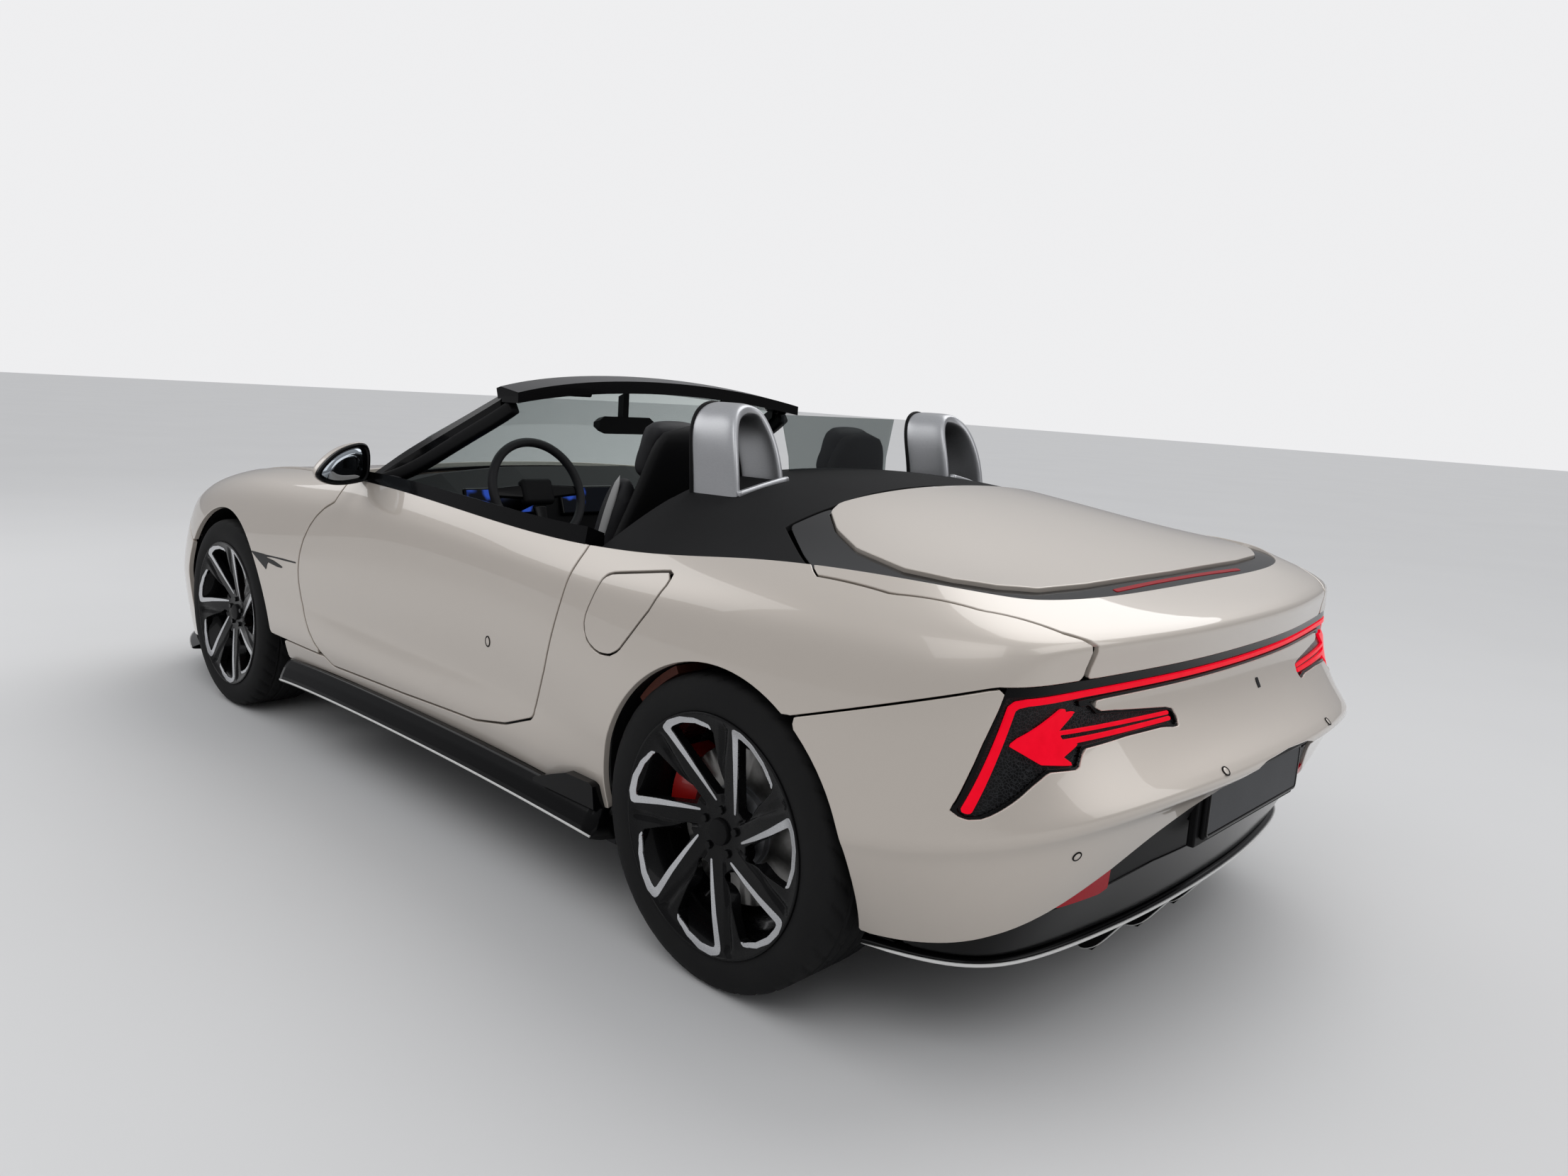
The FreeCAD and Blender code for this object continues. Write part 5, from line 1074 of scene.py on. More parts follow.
def build_lamps(look):
    """Tail lamps: dark base, black rim, red line, and an arrow of a head and two arms."""
    poles = body_poles()
    fine = Sheet(poles, look.cell * 1000 * 0.257, u_range=(0.0, 4.6), v_range=(3.2, 7.6))
    SHEETS["tail"] = fine
    d, y, z = coords(fine)
    lamp = np.minimum(inside(y, z, LAMP_OUTLINE), -480 - d)
    whole = np.maximum(lamp, np.minimum(band(z, BAR_LOW, BAR_HIGH), 780 - y))
    coarse = Sheet(poles, 12.0, u_range=(0.0, 4.6), v_range=(3.2, 7.6))
    d, y, z = coords(coarse)
    floor = np.maximum(np.minimum(inside(y, z, LAMP_OUTLINE), -480 - d),
                       np.minimum(band(z, BAR_LOW, BAR_HIGH), 780 - y))
    add_panel("lamp_base", coarse.lowered(10), floor, "lamp_dark", "body", ("tail_lamps",), "both", radius=1.5,
              depth=12.0, edge=0.5)
    d, y, z = coords(fine)
    rim = np.minimum(whole, np.maximum(LAMP_FRAME - whole, z - 781))
    add_panel("lamp_rim", fine.lowered(3), rim, "gloss_black", "body", ("tail_lamps",), "both", radius=1.0,
              depth=8.0, edge=0.5)
    leg = path_level(y, z, LAMP_LEG)
    add_panel("lamp_line", fine.lowered(2), leg, "lamp_red", "body", ("tail_lamps",), "both", radius=1.2,
              depth=8.0)
    arrow = np.minimum(inside(y, z, LAMP_HEAD), lamp + 1)
    for arm in LAMP_ARMS:
        arrow = np.maximum(arrow, path_level(y, z, arm))
    add_panel("lamp_arrow", fine.lowered(3), arrow, "lamp_red", "body", ("tail_lamps",), "both", radius=1.2,
              depth=8.0)


# Hoops behind the seats: path in y and z, then half thickness, front and back in d

HOOP_ROWS = (
    (372, 958, 11, 372, 520), (373, 1040, 11, 374, 522), (376, 1120, 11, 392, 538), (384, 1184, 12, 420, 560),
    (404, 1232, 14, 436, 574), (436, 1248, 16, 442, 578), (474, 1244, 18, 440, 578), (514, 1216, 17, 426, 572),
    (538, 1150, 13, 394, 552), (546, 1060, 12, 366, 532), (548, 958, 12, 360, 525),
)


def build_hoops():
    """Hoops as a flat tube along an arch, with a seal behind and a sill at the foot."""
    rows = curve(HOOP_ROWS, 50)
    path = np.stack([(rows[:, 3] + rows[:, 4]) / 2, rows[:, 0], rows[:, 1]], axis=1)
    add_pair("hoop", *swept(path, (1.0, 0.0, 0.0), (rows[:, 4] - rows[:, 3]) / 2, rows[:, 2], power=0.5,
                            count=48), "silver", "body", ("roll_hoops",))
    path[:, 0] = rows[:, 4] + 1
    add_pair("hoop_seal", *swept(path, (1.0, 0.0, 0.0), 7.0, rows[:, 2] + 1.5, power=0.6, count=24),
             "satin_black", "body", ("roll_hoops",))
    path = curve([(366, y, z) for y, z in ((548, 1034), (510, 1042), (470, 1052), (420, 1062), (372, 1070))], 20)
    add_pair("hoop_sill", *swept(path, (1.0, 0.0, 0.0), 9.0, 11.0, count=20), "silver", "body", ("roll_hoops",))


def add_button(name, sheet, axes, place, radius, squash, material, body, sides):
    """Ring and low cap that stand on a sheet at the point whose two coordinates come nearest to the place."""
    points, normals = sheet.points.reshape(-1, 3), sheet.normals.reshape(-1, 3)
    at = np.argmin((points[:, axes[0]] - place[0]) ** 2 + (points[:, axes[1]] - place[1]) ** 2)
    normal = normals[at]
    ex = np.cross((0.0, 0.0, 1.0), normal)
    ex /= np.linalg.norm(ex)
    ey = np.cross(normal, ex)
    turn = np.linspace(0, 2 * np.pi, 40, endpoint=False)[:, None]
    circle = ex * np.cos(turn) * squash + ey * np.sin(turn)
    ring = swept(points[at] + circle * radius + normal * 0.6, normal, 1.5, 1.5, 1.0, 10, closed=True)
    rows = ((-4.0, 0.84), (1.0, 0.84), (1.7, 0.76), (1.9, 0.3))
    rings = np.stack([points[at] + circle * radius * share + normal * rise for rise, share in rows])
    cap = closed_grid(rings)
    for part, (mesh, faces), finish in (("rim", ring, "satin_black"), ("cap", cap, material)):
        faces = outward(mesh, faces)
        if sides == "pair":
            add_pair(f"{name}_{part}", mesh, faces, finish, body)
        else:
            add_mesh(f"{name}_{part}", mesh, faces, finish, body)


def prism(outline, y0, y1):
    """Plate between two places across the car, from an outline in d and z."""
    flat = polygon(outline)
    count = len(flat)
    near = np.stack([flat[:, 0], np.full(count, float(y0)), flat[:, 1]], axis=1)
    far = near + (0, y1 - y0, 0)
    index = np.arange(count)
    after = np.roll(index, -1)
    faces = [np.stack([index, after, after + count, index + count], axis=1), index[None], (index[::-1] + count)[None]]
    points = np.concatenate([near, far])
    return points, outward(points, faces)


def facing(points, towards):
    """Sheet whose normals look to the given side at its middle."""
    made = sheet_from(points)
    middle = made.normals[made.normals.shape[0] // 2, made.normals.shape[1] // 2]
    return made if middle @ np.array(towards, float) > 0 else sheet_from(points, flip=True)


def placed(points, origin, ex, ey, ez):
    """Local points carried to a frame of three directions."""
    return np.array(origin, float) + points @ np.stack([ex, ey, ez]).astype(float)


def rounded_loop(half_a, half_b, radius, count=10):
    """Rounded rectangle round the origin, as pairs."""
    t = np.linspace(0, math.pi / 2, count)
    corner = np.stack([half_a - radius + radius * np.cos(t), half_b - radius + radius * np.sin(t)], axis=1)
    turned = [corner, corner[::-1] * (-1, 1), corner * (-1, -1), corner[::-1] * (1, -1)]
    return np.concatenate(turned)


# Lower tail: plan of the lip as d and y, and its section as way inwards and height

LIP_HEIGHT = 228.0
LIP_SECTION = ((110, 214), (50, 213), (0, 217), (-8, 221), (-8, 229), (0, 234), (22, 240), (44, 246))
FIN_SIDE = ((-680, 226), (-676, 208), (-604, 108), (-575, 104), (-400, 160), (-380, 222))


def lip_grid(plan_rows, section_rows, count=84):
    """Section carried along a plan line: each of its points lies so far inwards of the line, at its height."""
    plan = curve(plan_rows, count)
    along = np.gradient(plan, axis=0)
    inward = np.stack([-along[:, 1], along[:, 0]], axis=1)
    inward /= np.linalg.norm(inward, axis=1, keepdims=True)
    if (inward[count // 2] @ -plan[count // 2]) < 0:
        inward = -inward
    section = curve(section_rows, 24)
    flat = plan[:, None] + inward[:, None] * section[None, :, :1]
    height = np.broadcast_to(section[None, :, 1:], flat.shape[:2] + (1,))
    return np.concatenate([flat, height], axis=2), plan, inward


def build_tail():
    """Diffuser skin and band, lip, fins, reflectors, sensors and plate."""
    side = SHEETS["side"]
    d, y, z = coords(side)
    below = inside(y, z, [(-500, 100), (-500, 592)] + [(a, b - 4) for a, b in TAIL_EDGE] + [(1000, 100)])
    pocket = np.minimum.reduce([PLATE_POCKET_Y - np.abs(y), band(z, *PLATE_POCKET_Z), -766 - d])
    skin = np.minimum.reduce([below, -175 - d, arch_level(d, z, ARCH_REAR), -pocket])
    crease = np.interp(np.abs(y), (0, 157, 327, 478, 663), (366, 366, 370, 355, 340)) - z
    add_panel("diffuser_skin", side.lowered(LAMP_RECESS), np.minimum(skin, 12 - crease), "satin_black", "body",
              ("diffuser",), "both", depth=14.0)
    add_panel("diffuser_band", side.lowered(LAMP_RECESS - 3), np.minimum.reduce([skin, crease, z - 236]),
              "gloss_black", "body", ("diffuser",), "both", depth=12.0)
    half = np.array([[np.interp(LIP_HEIGHT, row[:, 2], row[:, k]) for k in (0, 1)] for row in side.points])
    half = half[half[:, 0] < -352][::4]
    grid, plan, inward = lip_grid(np.concatenate([half[:0:-1], half * (1, -1)]), LIP_SECTION)
    lip = facing(grid, (-1, 0, 0.2))
    add_panel("diffuser_lip", lip, np.full(grid.shape[:2], 50.0), "gloss_black", "body", ("diffuser",), "whole",
              radius=1.0, depth=4.0)
    edge = np.column_stack([plan - inward * 8.5, np.full(len(plan), 223.0)])
    add_mesh("diffuser_pin", *swept(edge, (0, 0, 1), 3.4 * rounded_ends(len(plan), 0.05), 2.6, count=12),
             "pin_white", "body", replaces=("diffuser",))
    for number, place in enumerate((-290, -97, 97, 290)):
        shift = 14 if abs(place) > 200 else 0
        add_mesh(f"diffuser_fin_{number}", *prism([(a + shift, b) for a, b in FIN_SIDE], place - 5, place + 5),
                 "gloss_black", "body", smooth=False, replaces=("diffuser",))
        path = curve([(a + shift, place, b) for a, b in ((-680, 218), (-678, 209), (-642, 160), (-604, 106),
                                                         (-575, 102))], 40)
        add_mesh(f"diffuser_fin_pin_{number}", *swept(path, (0, 1, 0), 5.6, 1.8, count=12), "pin_white", "body",
                 replaces=("diffuser",))
    fine = SHEETS["low_tail"] = Sheet(body_poles(), 7.0, u_range=(0.0, 4.4), v_range=(0.2, 4.6))
    d, y, z = coords(fine)
    # The reflectors' red carries a painted glow from its faint emission, though a reflector is no lamp.
    add_panel("reflector", fine.lowered(3), inside(y, z, REFLECTOR), "reflector_red_glow", "body", ("diffuser",),
              "pair", radius=1.5, depth=10.0)
    for number, (a, b) in enumerate(SENSORS):
        sheet = fine if b < 560 else SHEETS["tail"]
        add_button(f"sensor_{number}", sheet, (1, 2), (a, b), 9.5, 1.0, "body_paint", "body", "pair")
    d, y, z = coords(SHEETS["tail"])
    add_panel("tow_cap", SHEETS["tail"].lowered(-1.6), np.minimum(8 - np.abs(y - 64), 11 - np.abs(z - 710)),
              "gloss_black", "body", (), "right", radius=1.0, depth=3.0)

    add_mesh("plate_back", *block_mesh((-787.0, 0, 484.0), (6.0, 263.0, 59.0), 5.0), "satin_black", "body",
             smooth=False, replaces=("plate_holder",))
    add_mesh("plate_blank", *block_mesh((-792.8, 0, 486.0), (1.6, 254.0, 50.0), 1.2), "plate_dark", "body",
             smooth=False, replaces=("plate_holder",))
    loop = rounded_loop(257.0, 53.0, 10.0)
    path = np.column_stack([np.full(len(loop), -793.0), loop[:, 0], loop[:, 1] + 485.0])
    add_mesh("plate_rim", *swept(path, (1, 0, 0), 2.8, 3.4, count=12, closed=True), "gloss_black", "body",
             replaces=("plate_holder",))
    add_mesh("plate_pocket", *block_mesh((-772.0, 0, 484.0), (9.0, 281.0, 75.0), 4.0), "satin_black", "body",
             smooth=False, replaces=("plate_holder",))


# Front: strokes in y and z on the nose

DAY_LINE = ((560, 604, 3.0), (700, 640, 4.0), (850, 694, 4.5))
SPLITTER_PLAN = ((3080, 905), (3230, 868), (3400, 790), (3530, 660), (3610, 470), (3650, 220), (3655, 70), (3655, -70),
                 (3650, -220), (3610, -470), (3530, -660), (3400, -790), (3230, -868), (3080, -905))
SPLITTER_SECTION = ((180, 134), (60, 130), (4, 131), (-8, 134), (-8, 140), (4, 146), (40, 156), (80, 176))


def build_front():
    """Headlamps, grille and splitter."""
    fine = Sheet(body_poles(), 10.0, u_range=(14.2, 18.0), v_range=(0.0, 8.2))
    d, y, z = coords(fine)
    lamp = np.minimum(inside(y, z, HEADLAMP_OUTLINE), d - 3100)
    add_panel("headlamp_lens", fine.lowered(7), lamp, "lamp_front", "body", ("headlamps",), "pair", radius=1.5,
              depth=10.0)
    add_panel("headlamp_line", fine.lowered(3), np.minimum(path_level(y, z, DAY_LINE), lamp - 2), "lamp_white",
              "body", ("headlamps",), "pair", radius=1.0, depth=8.0)
    for number, place in enumerate((640, 715, 780)):
        height = float(np.interp(place, (540, 860), (607, 690))) + 4
        add_panel(f"headlamp_eye_{number}", fine.lowered(2), 13.0 - np.hypot(y - place, z - height),
                  "lamp_white", "body", ("headlamps",), "pair", radius=2.0, depth=6.0)
    hole = np.minimum(inside(y, z, [(-600, 190)] + list(INTAKE_OUTLINE[1:]) + [(-600, 372)]), d - 3200)
    back = Sheet(body_poles(), 24.0, u_range=(14.2, 18.0), v_range=(0.0, 8.2))
    back_hole = np.minimum(inside(back.points[..., 1], back.points[..., 2], [(-600, 190)] + list(INTAKE_OUTLINE[1:])
                                  + [(-600, 372)]), back.points[..., 0] - 3200)
    add_panel("grille_back", back.lowered(24), back_hole + 3, "structure", "body", ("front_grille",), "both",
              depth=6.0, slot="satin_black")
    holes = np.abs(((y + (np.round(z / 42) % 2) * 42) % 84) - 42)
    rows = np.abs((z % 42) - 21)
    bars = np.maximum(3.4 - holes, 3.6 - rows)
    add_panel("grille_bars", fine.lowered(12), np.minimum(hole + 2, bars), "gloss_black", "body",
              ("front_grille",), "both", radius=0.8, depth=8.0)
    grid, plan, inward = lip_grid(SPLITTER_PLAN, SPLITTER_SECTION)
    lip = facing(grid, (1, 0, 0.2))
    add_panel("splitter", lip, np.full(grid.shape[:2], 50.0), "gloss_black", "body", ("front_bumper",), "whole",
              radius=1.0, depth=4.0)
    edge = np.column_stack([plan - inward * 8.5, np.full(len(plan), 137.0)])
    add_mesh("splitter_pin", *swept(edge, (0, 0, 1), 3.0 * rounded_ends(len(plan), 0.05), 2.4, count=12),
             "pin_white", "body", replaces=("front_bumper",))


# Flank details, in d and z

VENT_OUTLINE = ((2408, 631), (2300, 633), (2285, 624), (2230, 621), (2180, 612), (2147, 603), (2200, 602), (2268, 608),
                (2276, 600), (2283, 580), (2300, 588))
VENT_LINE = ((2298, 629, 3.2), (2180, 633, 3.2), (2070, 636, 3.2))
SKIRT_ROWS = ((392, 951, 290), (800, 941, 299), (1400, 935, 300), (2000, 944, 296), (2150, 949, 286))
SKIRT_FIN = ((388, 290), (396, 344), (408, 350, 420, 351), (505, 350), (560, 331), (640, 300), (640, 290))
KEY_PLACE = (925.0, 588.0)


def build_flanks():
    """Vents, key cover, skirts and arch brackets."""
    fine = Sheet(body_poles(), 5.0, u_range=(10.5, 13.8), v_range=(3.0, 7.2))
    d, _, z = coords(fine)
    vent = np.maximum(inside(d, z, VENT_OUTLINE), path_level(d, z, VENT_LINE))
    add_panel("vent", fine.lowered(-1.2), vent, "gloss_black", "body", ("front_wings",), "pair", radius=0.8,
              depth=4.0)
    fine = Sheet(body_poles(), 5.0, u_range=(6.5, 9.5), v_range=(4.5, 8.2))
    add_button("key", fine, (0, 2), KEY_PLACE, 14.0, 0.75, "body_paint", "door_left", "left")

    rows = curve(SKIRT_ROWS, 60)
    section = np.array([(-60, 0), (-44, 1), (-30, 0), (-12, -26), (0, -52), (4, -66), (1, -74), (-30, -84),
                        (-74, -92), (-78, -60), (-76, -20)], float)
    section = np.concatenate([section, section[:1]])
    fine_section = np.stack([np.interp(np.linspace(0, 11, 56)[:-1], range(12), section[:, k]) for k in (0, 1)], axis=1)
    rings = np.stack([np.broadcast_to(rows[:, :1], (60, 55)), rows[:, 1:2] + fine_section[None, :, 0],
                      rows[:, 2:] + fine_section[None, :, 1]], axis=-1)
    points, faces = closed_grid(rings)
    add_pair("skirt", points, outward(points, faces), "gloss_black", "body", ("side_skirts",))
    edge = np.column_stack([rows[:, 0], rows[:, 1] + 3.0, rows[:, 2] - 67.0])
    add_pair("skirt_pin", *swept(edge, (0, 0, 1), 3.2, 2.4, count=12), "pin_white", "body", ("side_skirts",))
    add_pair("skirt_fin", *prism(SKIRT_FIN, 905, 949), "gloss_black", "body", ("side_skirts",), smooth=False)
    angle = np.radians(np.linspace(38, 62, 20))[:, None]
    corner = np.array(((357, 790), (376, 790), (376, 896), (357, 896)), float)
    rings = np.stack([corner[:, 0] * np.cos(angle), corner[:, 1] + 0 * angle, 350 + corner[:, 0] * np.sin(angle)],
                     axis=-1)
    points, faces = closed_grid(rings)
    add_pair("arch_bracket", points, outward(points, faces), "bracket_rust", "body", (), smooth=False)


# Mirrors: d, shares of the half width and half height, and rise of the middle

SHELL_ROWS = ((1764, 1.0, 1.0, 0), (1774, 1.0, 1.0, 0), (1788, 0.98, 0.96, 3), (1803, 0.88, 0.82, 8),
              (1814, 0.7, 0.6, 12), (1820, 0.46, 0.34, 14), (1821, 0.2, 0.14, 14))
BACK_ROWS = ((1800, 0.9, 0.88, 0), (1762.5, 0.985, 0.985, 0), (1752, 0.985, 0.985, 0), (1746, 0.95, 0.94, 0),
             (1745, 0.9, 0.89, 0), (1750, 0.87, 0.85, 0))


MIRROR_OUTLINE = ((1008, 960), (976, 1000), (930, 1036), (880, 1056), (836, 1062), (818, 1036), (818, 985), (826, 940),
                  (862, 932), (908, 926), (952, 927), (988, 940))
MIRROR_MIDDLE = (905.0, 982.0)


def smooth_loop(corners, rounds=3):
    """Closed outline with its corners cut at a quarter and three quarters of each edge, a few times over."""
    loop = np.array(corners, float)
    for _ in range(rounds):
        after = np.roll(loop, -1, axis=0)
        loop = np.stack([0.75 * loop + 0.25 * after, 0.25 * loop + 0.75 * after], axis=1).reshape(-1, 2)
    return loop


def mirror_rings(rows):
    """The outline shrunk about its middle, stacked along the car and turned a little towards the driver."""
    loop = smooth_loop(MIRROR_OUTLINE) - MIRROR_MIDDLE
    rows = np.array(rows, float)
    y = loop[None, :, 0] * rows[:, 1:2]
    z = loop[None, :, 1] * rows[:, 2:3] + rows[:, 3:]
    ahead = rows[:, :1] - 1764
    share = np.clip(0.33 + (MIRROR_MIDDLE[0] + y - 836) * 0.0105, 0.25, 1)
    d = 1764 + np.where(ahead > 0, ahead * share, ahead) - 0.10 * y
    return np.stack([d, MIRROR_MIDDLE[0] + y, MIRROR_MIDDLE[1] + z], axis=-1)


def build_mirrors():
    """Shells, backs, glasses and feet of the outer mirrors."""
    doors = ("door_left", "door_right")
    nodes = (("mirror_left",), ("mirror_right",))
    points, faces = closed_grid(mirror_rings(curve(SHELL_ROWS, 30)))
    add_pair("mirror_shell", points, outward(points, faces), "body_paint", doors, nodes)
    points, faces = closed_grid(mirror_rings(BACK_ROWS))
    add_pair("mirror_back", points, outward(points, faces), "gloss_black", doors, nodes)
    points, faces = closed_grid(mirror_rings(((1752, 0.84, 0.82, 0), (1748, 0.84, 0.82, 0), (1747.4, 0.4, 0.4, 0))))
    add_pair("mirror_glass", points, outward(points, faces), "mirror_glass", doors, nodes)
    path = curve(((1800, 800, 946), (1800, 815, 950), (1798, 836, 958), (1797, 866, 968)), 24)
    add_pair("mirror_foot", *swept(path, (1, 0, 0), 30.0, 17.0, count=40), "gloss_black", doors, nodes)


# Cabin

SEAT_MIDDLE = 385.0
VOXEL, PRESSURE, LAST_FRAME, MOST_MOVE = 0.014, 4.0, 20, 0.008
SCREEN_TILT = 18.0
BACK_PATH = ((985, 395), (950, 470), (905, 640), (868, 800), (842, 940), (828, 1040))


def cushion(name, shape):
    """Stuffed piece of the left seat: a closed shape, blown up a little as cloth. A mirrored copy is the right
    seat's."""
    piece = add_mesh(name + "_left", *shape, "seat_leather", "body", replaces=("seats",))
    blow_up(piece)
    place = np.empty(len(piece.data.vertices) * 3, np.float32)
    piece.data.vertices.foreach_get("co", place)
    mesh = piece.data.copy()
    mesh.vertices.foreach_set("co", (place.reshape(-1, 3) * MIRROR_Y.astype(np.float32)).ravel())
    mesh.flip_normals()
    add_piece(name + "_right", mesh, "seat_leather", "body", ("seats",))


def blow_up(piece):
    """Voxel remesh, a short pressure simulation with the way of each point capped, and one subdivision."""
    context = bpy.context
    with context.temp_override(object=piece, active_object=piece, selected_objects=[piece]):
        remesh = piece.modifiers.new("remesh", "REMESH")
        remesh.mode, remesh.voxel_size = "VOXEL", VOXEL
        bpy.ops.object.modifier_apply(modifier="remesh")
        count = len(piece.data.vertices)
        before = np.empty(count * 3, np.float32)
        piece.data.vertices.foreach_get("co", before)
        cloth = piece.modifiers.new("cloth", "CLOTH")
        cloth.settings.use_pressure = True
        cloth.settings.uniform_pressure_force = PRESSURE
        cloth.settings.effector_weights.gravity = 0.0
        cloth.point_cache.frame_start, cloth.point_cache.frame_end = 1, LAST_FRAME
        for number in range(1, LAST_FRAME + 1):
            context.scene.frame_set(number)
        evaluated = piece.evaluated_get(context.evaluated_depsgraph_get())
        after = np.empty(count * 3, np.float32)
        evaluated.data.vertices.foreach_get("co", after)
        piece.modifiers.remove(cloth)
    context.scene.frame_set(1)
    move = (after - before).reshape(-1, 3)
    far = np.linalg.norm(move, axis=1, keepdims=True)
    capped = before.reshape(-1, 3) + move * np.minimum(1.0, MOST_MOVE / np.maximum(far, 1e-9))
    piece.data.vertices.foreach_set("co", capped.astype(np.float32).ravel())
    piece.data.update()
    piece.data.polygons.foreach_set("use_smooth", np.full(len(piece.data.polygons), True))
    smooth = piece.modifiers.new("smooth", "SUBSURF")
    smooth.levels = smooth.render_levels = 1
    with context.temp_override(object=piece, active_object=piece, selected_objects=[piece]):
        bpy.ops.object.modifier_apply(modifier="smooth")


def build_seats():
    """Cushions as tubes along the seat's line with rounded ends, and their shells."""
    back = curve([(d, SEAT_MIDDLE, z) for d, z in BACK_PATH], 40)
    ends = rounded_ends(40, 0.22)
    shape = swept(back + (20, 0, 0), (0, 1, 0), np.linspace(150, 118, 40) * ends, 38 * ends, 0.6, 48)
    cushion("seat_back", shape)
    for name, sign in (("outer", 1), ("inner", -1)):
        path = curve([(d + 30, SEAT_MIDDLE + sign * (w - 12), z)
                      for (d, z), w in zip(BACK_PATH, (178, 188, 192, 180, 158, 132))], 40)
        shape = swept(path, (0, 1, 0), 38 * ends, 50 * ends, 0.75, 40)
        cushion(f"seat_bolster_{name}", shape)
        add_pair(f"seat_strip_{name}", *swept(path + (-8, sign * 35.0, 0), (0, 1, 0), 7 * ends, 16 * ends, 0.8,
                                              24), "pale_leather", "body", ("seats",))
        path = curve([(d, SEAT_MIDDLE + sign * 176, z) for d, z in ((985, 452), (1100, 470), (1250, 478), (1390, 470),
                                                                   (1450, 448))], 40)
        shape = swept(path, (0, 1, 0), 52 * ends, 46 * ends, 0.75, 40)
        cushion(f"seat_thigh_{name}", shape)
    path = curve([(d, SEAT_MIDDLE, z) for d, z in ((990, 428), (1120, 432), (1260, 442), (1400, 452),
                                                   (1470, 440))], 40)
    shape = swept(path, (0, 1, 0), 140 * ends, 46 * ends, 0.6, 48)
    cushion("seat_base", shape)
    path = curve([(d, SEAT_MIDDLE, z) for d, z in ((838, 1022), (826, 1090), (812, 1150), (798, 1196))], 36)
    shape = swept(path, (0, 1, 0), np.linspace(118, 96, 36) * rounded_ends(36, 0.3), 40 * rounded_ends(36, 0.3),
                          0.65, 48)
    cushion("seat_head", shape)
    path = curve([(d - 48, SEAT_MIDDLE, z) for d, z in ((975, 320), (950, 470), (905, 640), (868, 800), (836, 960),
                                                        (806, 1100), (790, 1188))], 44)
    wide = np.interp(np.linspace(0, 1, 44), (0, 0.3, 0.6, 0.8, 1), (210, 222, 200, 150, 100))
    add_pair("seat_shell", *swept(path, (0, 1, 0), wide * rounded_ends(44, 0.1), 26 * rounded_ends(44, 0.1), 0.5,
                                  44), "satin_black", "body", ("seats",))
    add_pair("seat_foot", *block_mesh((1210.0, SEAT_MIDDLE, 345.0), (250.0, 200.0, 56.0), 20.0), "carpet",
             "body", ("seats",), smooth=False)


def build_cabin():
    """Steering wheel, screens, pillar seals and small pieces of the cabin."""
    rake = math.radians(22.0)
    hub = np.array((1450.0, 400.0, 930.0))
    out = np.array((-math.cos(rake), 0, math.sin(rake)))
    up = np.array((math.sin(rake), 0, math.cos(rake)))
    across = np.array((0.0, 1.0, 0.0))
    t = np.linspace(0, 2 * np.pi, 96, endpoint=False)
    radius = 166 - 10 * np.exp(-((t - 1.5 * np.pi) / 0.5) ** 2)
    path = hub + np.outer(radius * np.cos(t), across) + np.outer(radius * np.sin(t), up)
    points, faces = swept(path, out, 14.0, 14.5, power=0.9, count=24, closed=True)
    body, nodes = "steering_wheel", ("steering_wheel",)
    add_mesh("wheel_ring", points, faces, "seat_leather", body, replaces=nodes)
    points, faces = block_mesh((0, 0, 0), (60.0, 44.0, 17.0), 15.0, 5)
    points = placed(points, hub - out * 8, across, up, out)
    add_mesh("wheel_pad", points, outward(points, faces), "satin_black", body, replaces=nodes)
    for name, turn, length in (("left", 0.0, 112), ("right", math.pi, 112), ("down", -math.pi / 2, 104)):
        ray = across * math.cos(turn) + up * math.sin(turn)
        path = np.linspace(0, 1, 20)[:, None] * ray * length + hub + ray * 48 - out * 8
        add_mesh("wheel_spoke_" + name, *swept(path, np.cross(ray, out), np.linspace(24, 15, 20), 7.0, 0.5, 24),
                 "gloss_black", body, replaces=nodes)
    for name, place, half in (("driver", (1664, 400, 872), (132, 40)), ("centre", (1668, 0, 868), (150, 44)),
                              ("side", (1660, 590, 858), (48, 34))):
        angle = math.radians(SCREEN_TILT)
        normal = np.array((-math.cos(angle), 0, math.sin(angle)))
        rise = np.array((math.sin(angle), 0, math.cos(angle)))
        points, faces = block_mesh((0, 0, 0), (half[0] + 8, half[1] + 8, 9.0), 7.0)
        points = placed(points, place, across, rise, normal)
        add_mesh("screen_case_" + name, points, outward(points, faces), "gloss_black", "body", smooth=False,
                 replaces=())
        points, faces = block_mesh((0, 0, 0), (half[0], half[1], 1.5), 1.0)
        points = placed(points, np.array(place) + normal * 9.2, across, rise, normal)
        add_mesh("screen_" + name, points, outward(points, faces), "screen_glow", "body", smooth=False)
    path = curve(((1940, 722, 915), (1785, 692, 950), (1600, 652, 1050), (1440, 620, 1132), (1345, 600, 1180),
                  (1310, 590, 1204)), 40)
    add_pair("pillar_seal", *swept(path, (0, 1, 0), 18.0, 22.0, power=0.5, count=24), "satin_black", "body", ())
    add_mesh("console_switch", *block_mesh((1420.0, 0.0, 640.0), (60.0, 44.0, 14.0), 10.0), "gloss_black",
             "body", smooth=False)
    for name, sign in (("left", 1), ("right", -1)):
        add_mesh("header_catch_" + name, *block_mesh((1330.0, sign * 340.0, 1255.0), (26.0, 38.0, 12.0), 6.0),
                 "satin_black", "body", smooth=False)


def build_deck_details():
    """Brake lamp in the lid's band, bent by the square of y."""
    fine = Sheet(height_poles(DECK_D, DECK_Y, DECK_Z), 8.0, flip=True)
    d, y, _ = coords(fine)
    bow = d + 0.000055 * y * y
    add_panel("brake_line", fine.lowered(4.5), np.minimum(band(bow, -566, -553), 330 - np.abs(y)),
              "reflector_red_glow", "boot_lid", ("boot_band",), "whole", radius=1.0, depth=6.0)


FLOOR_HALF = 60.0


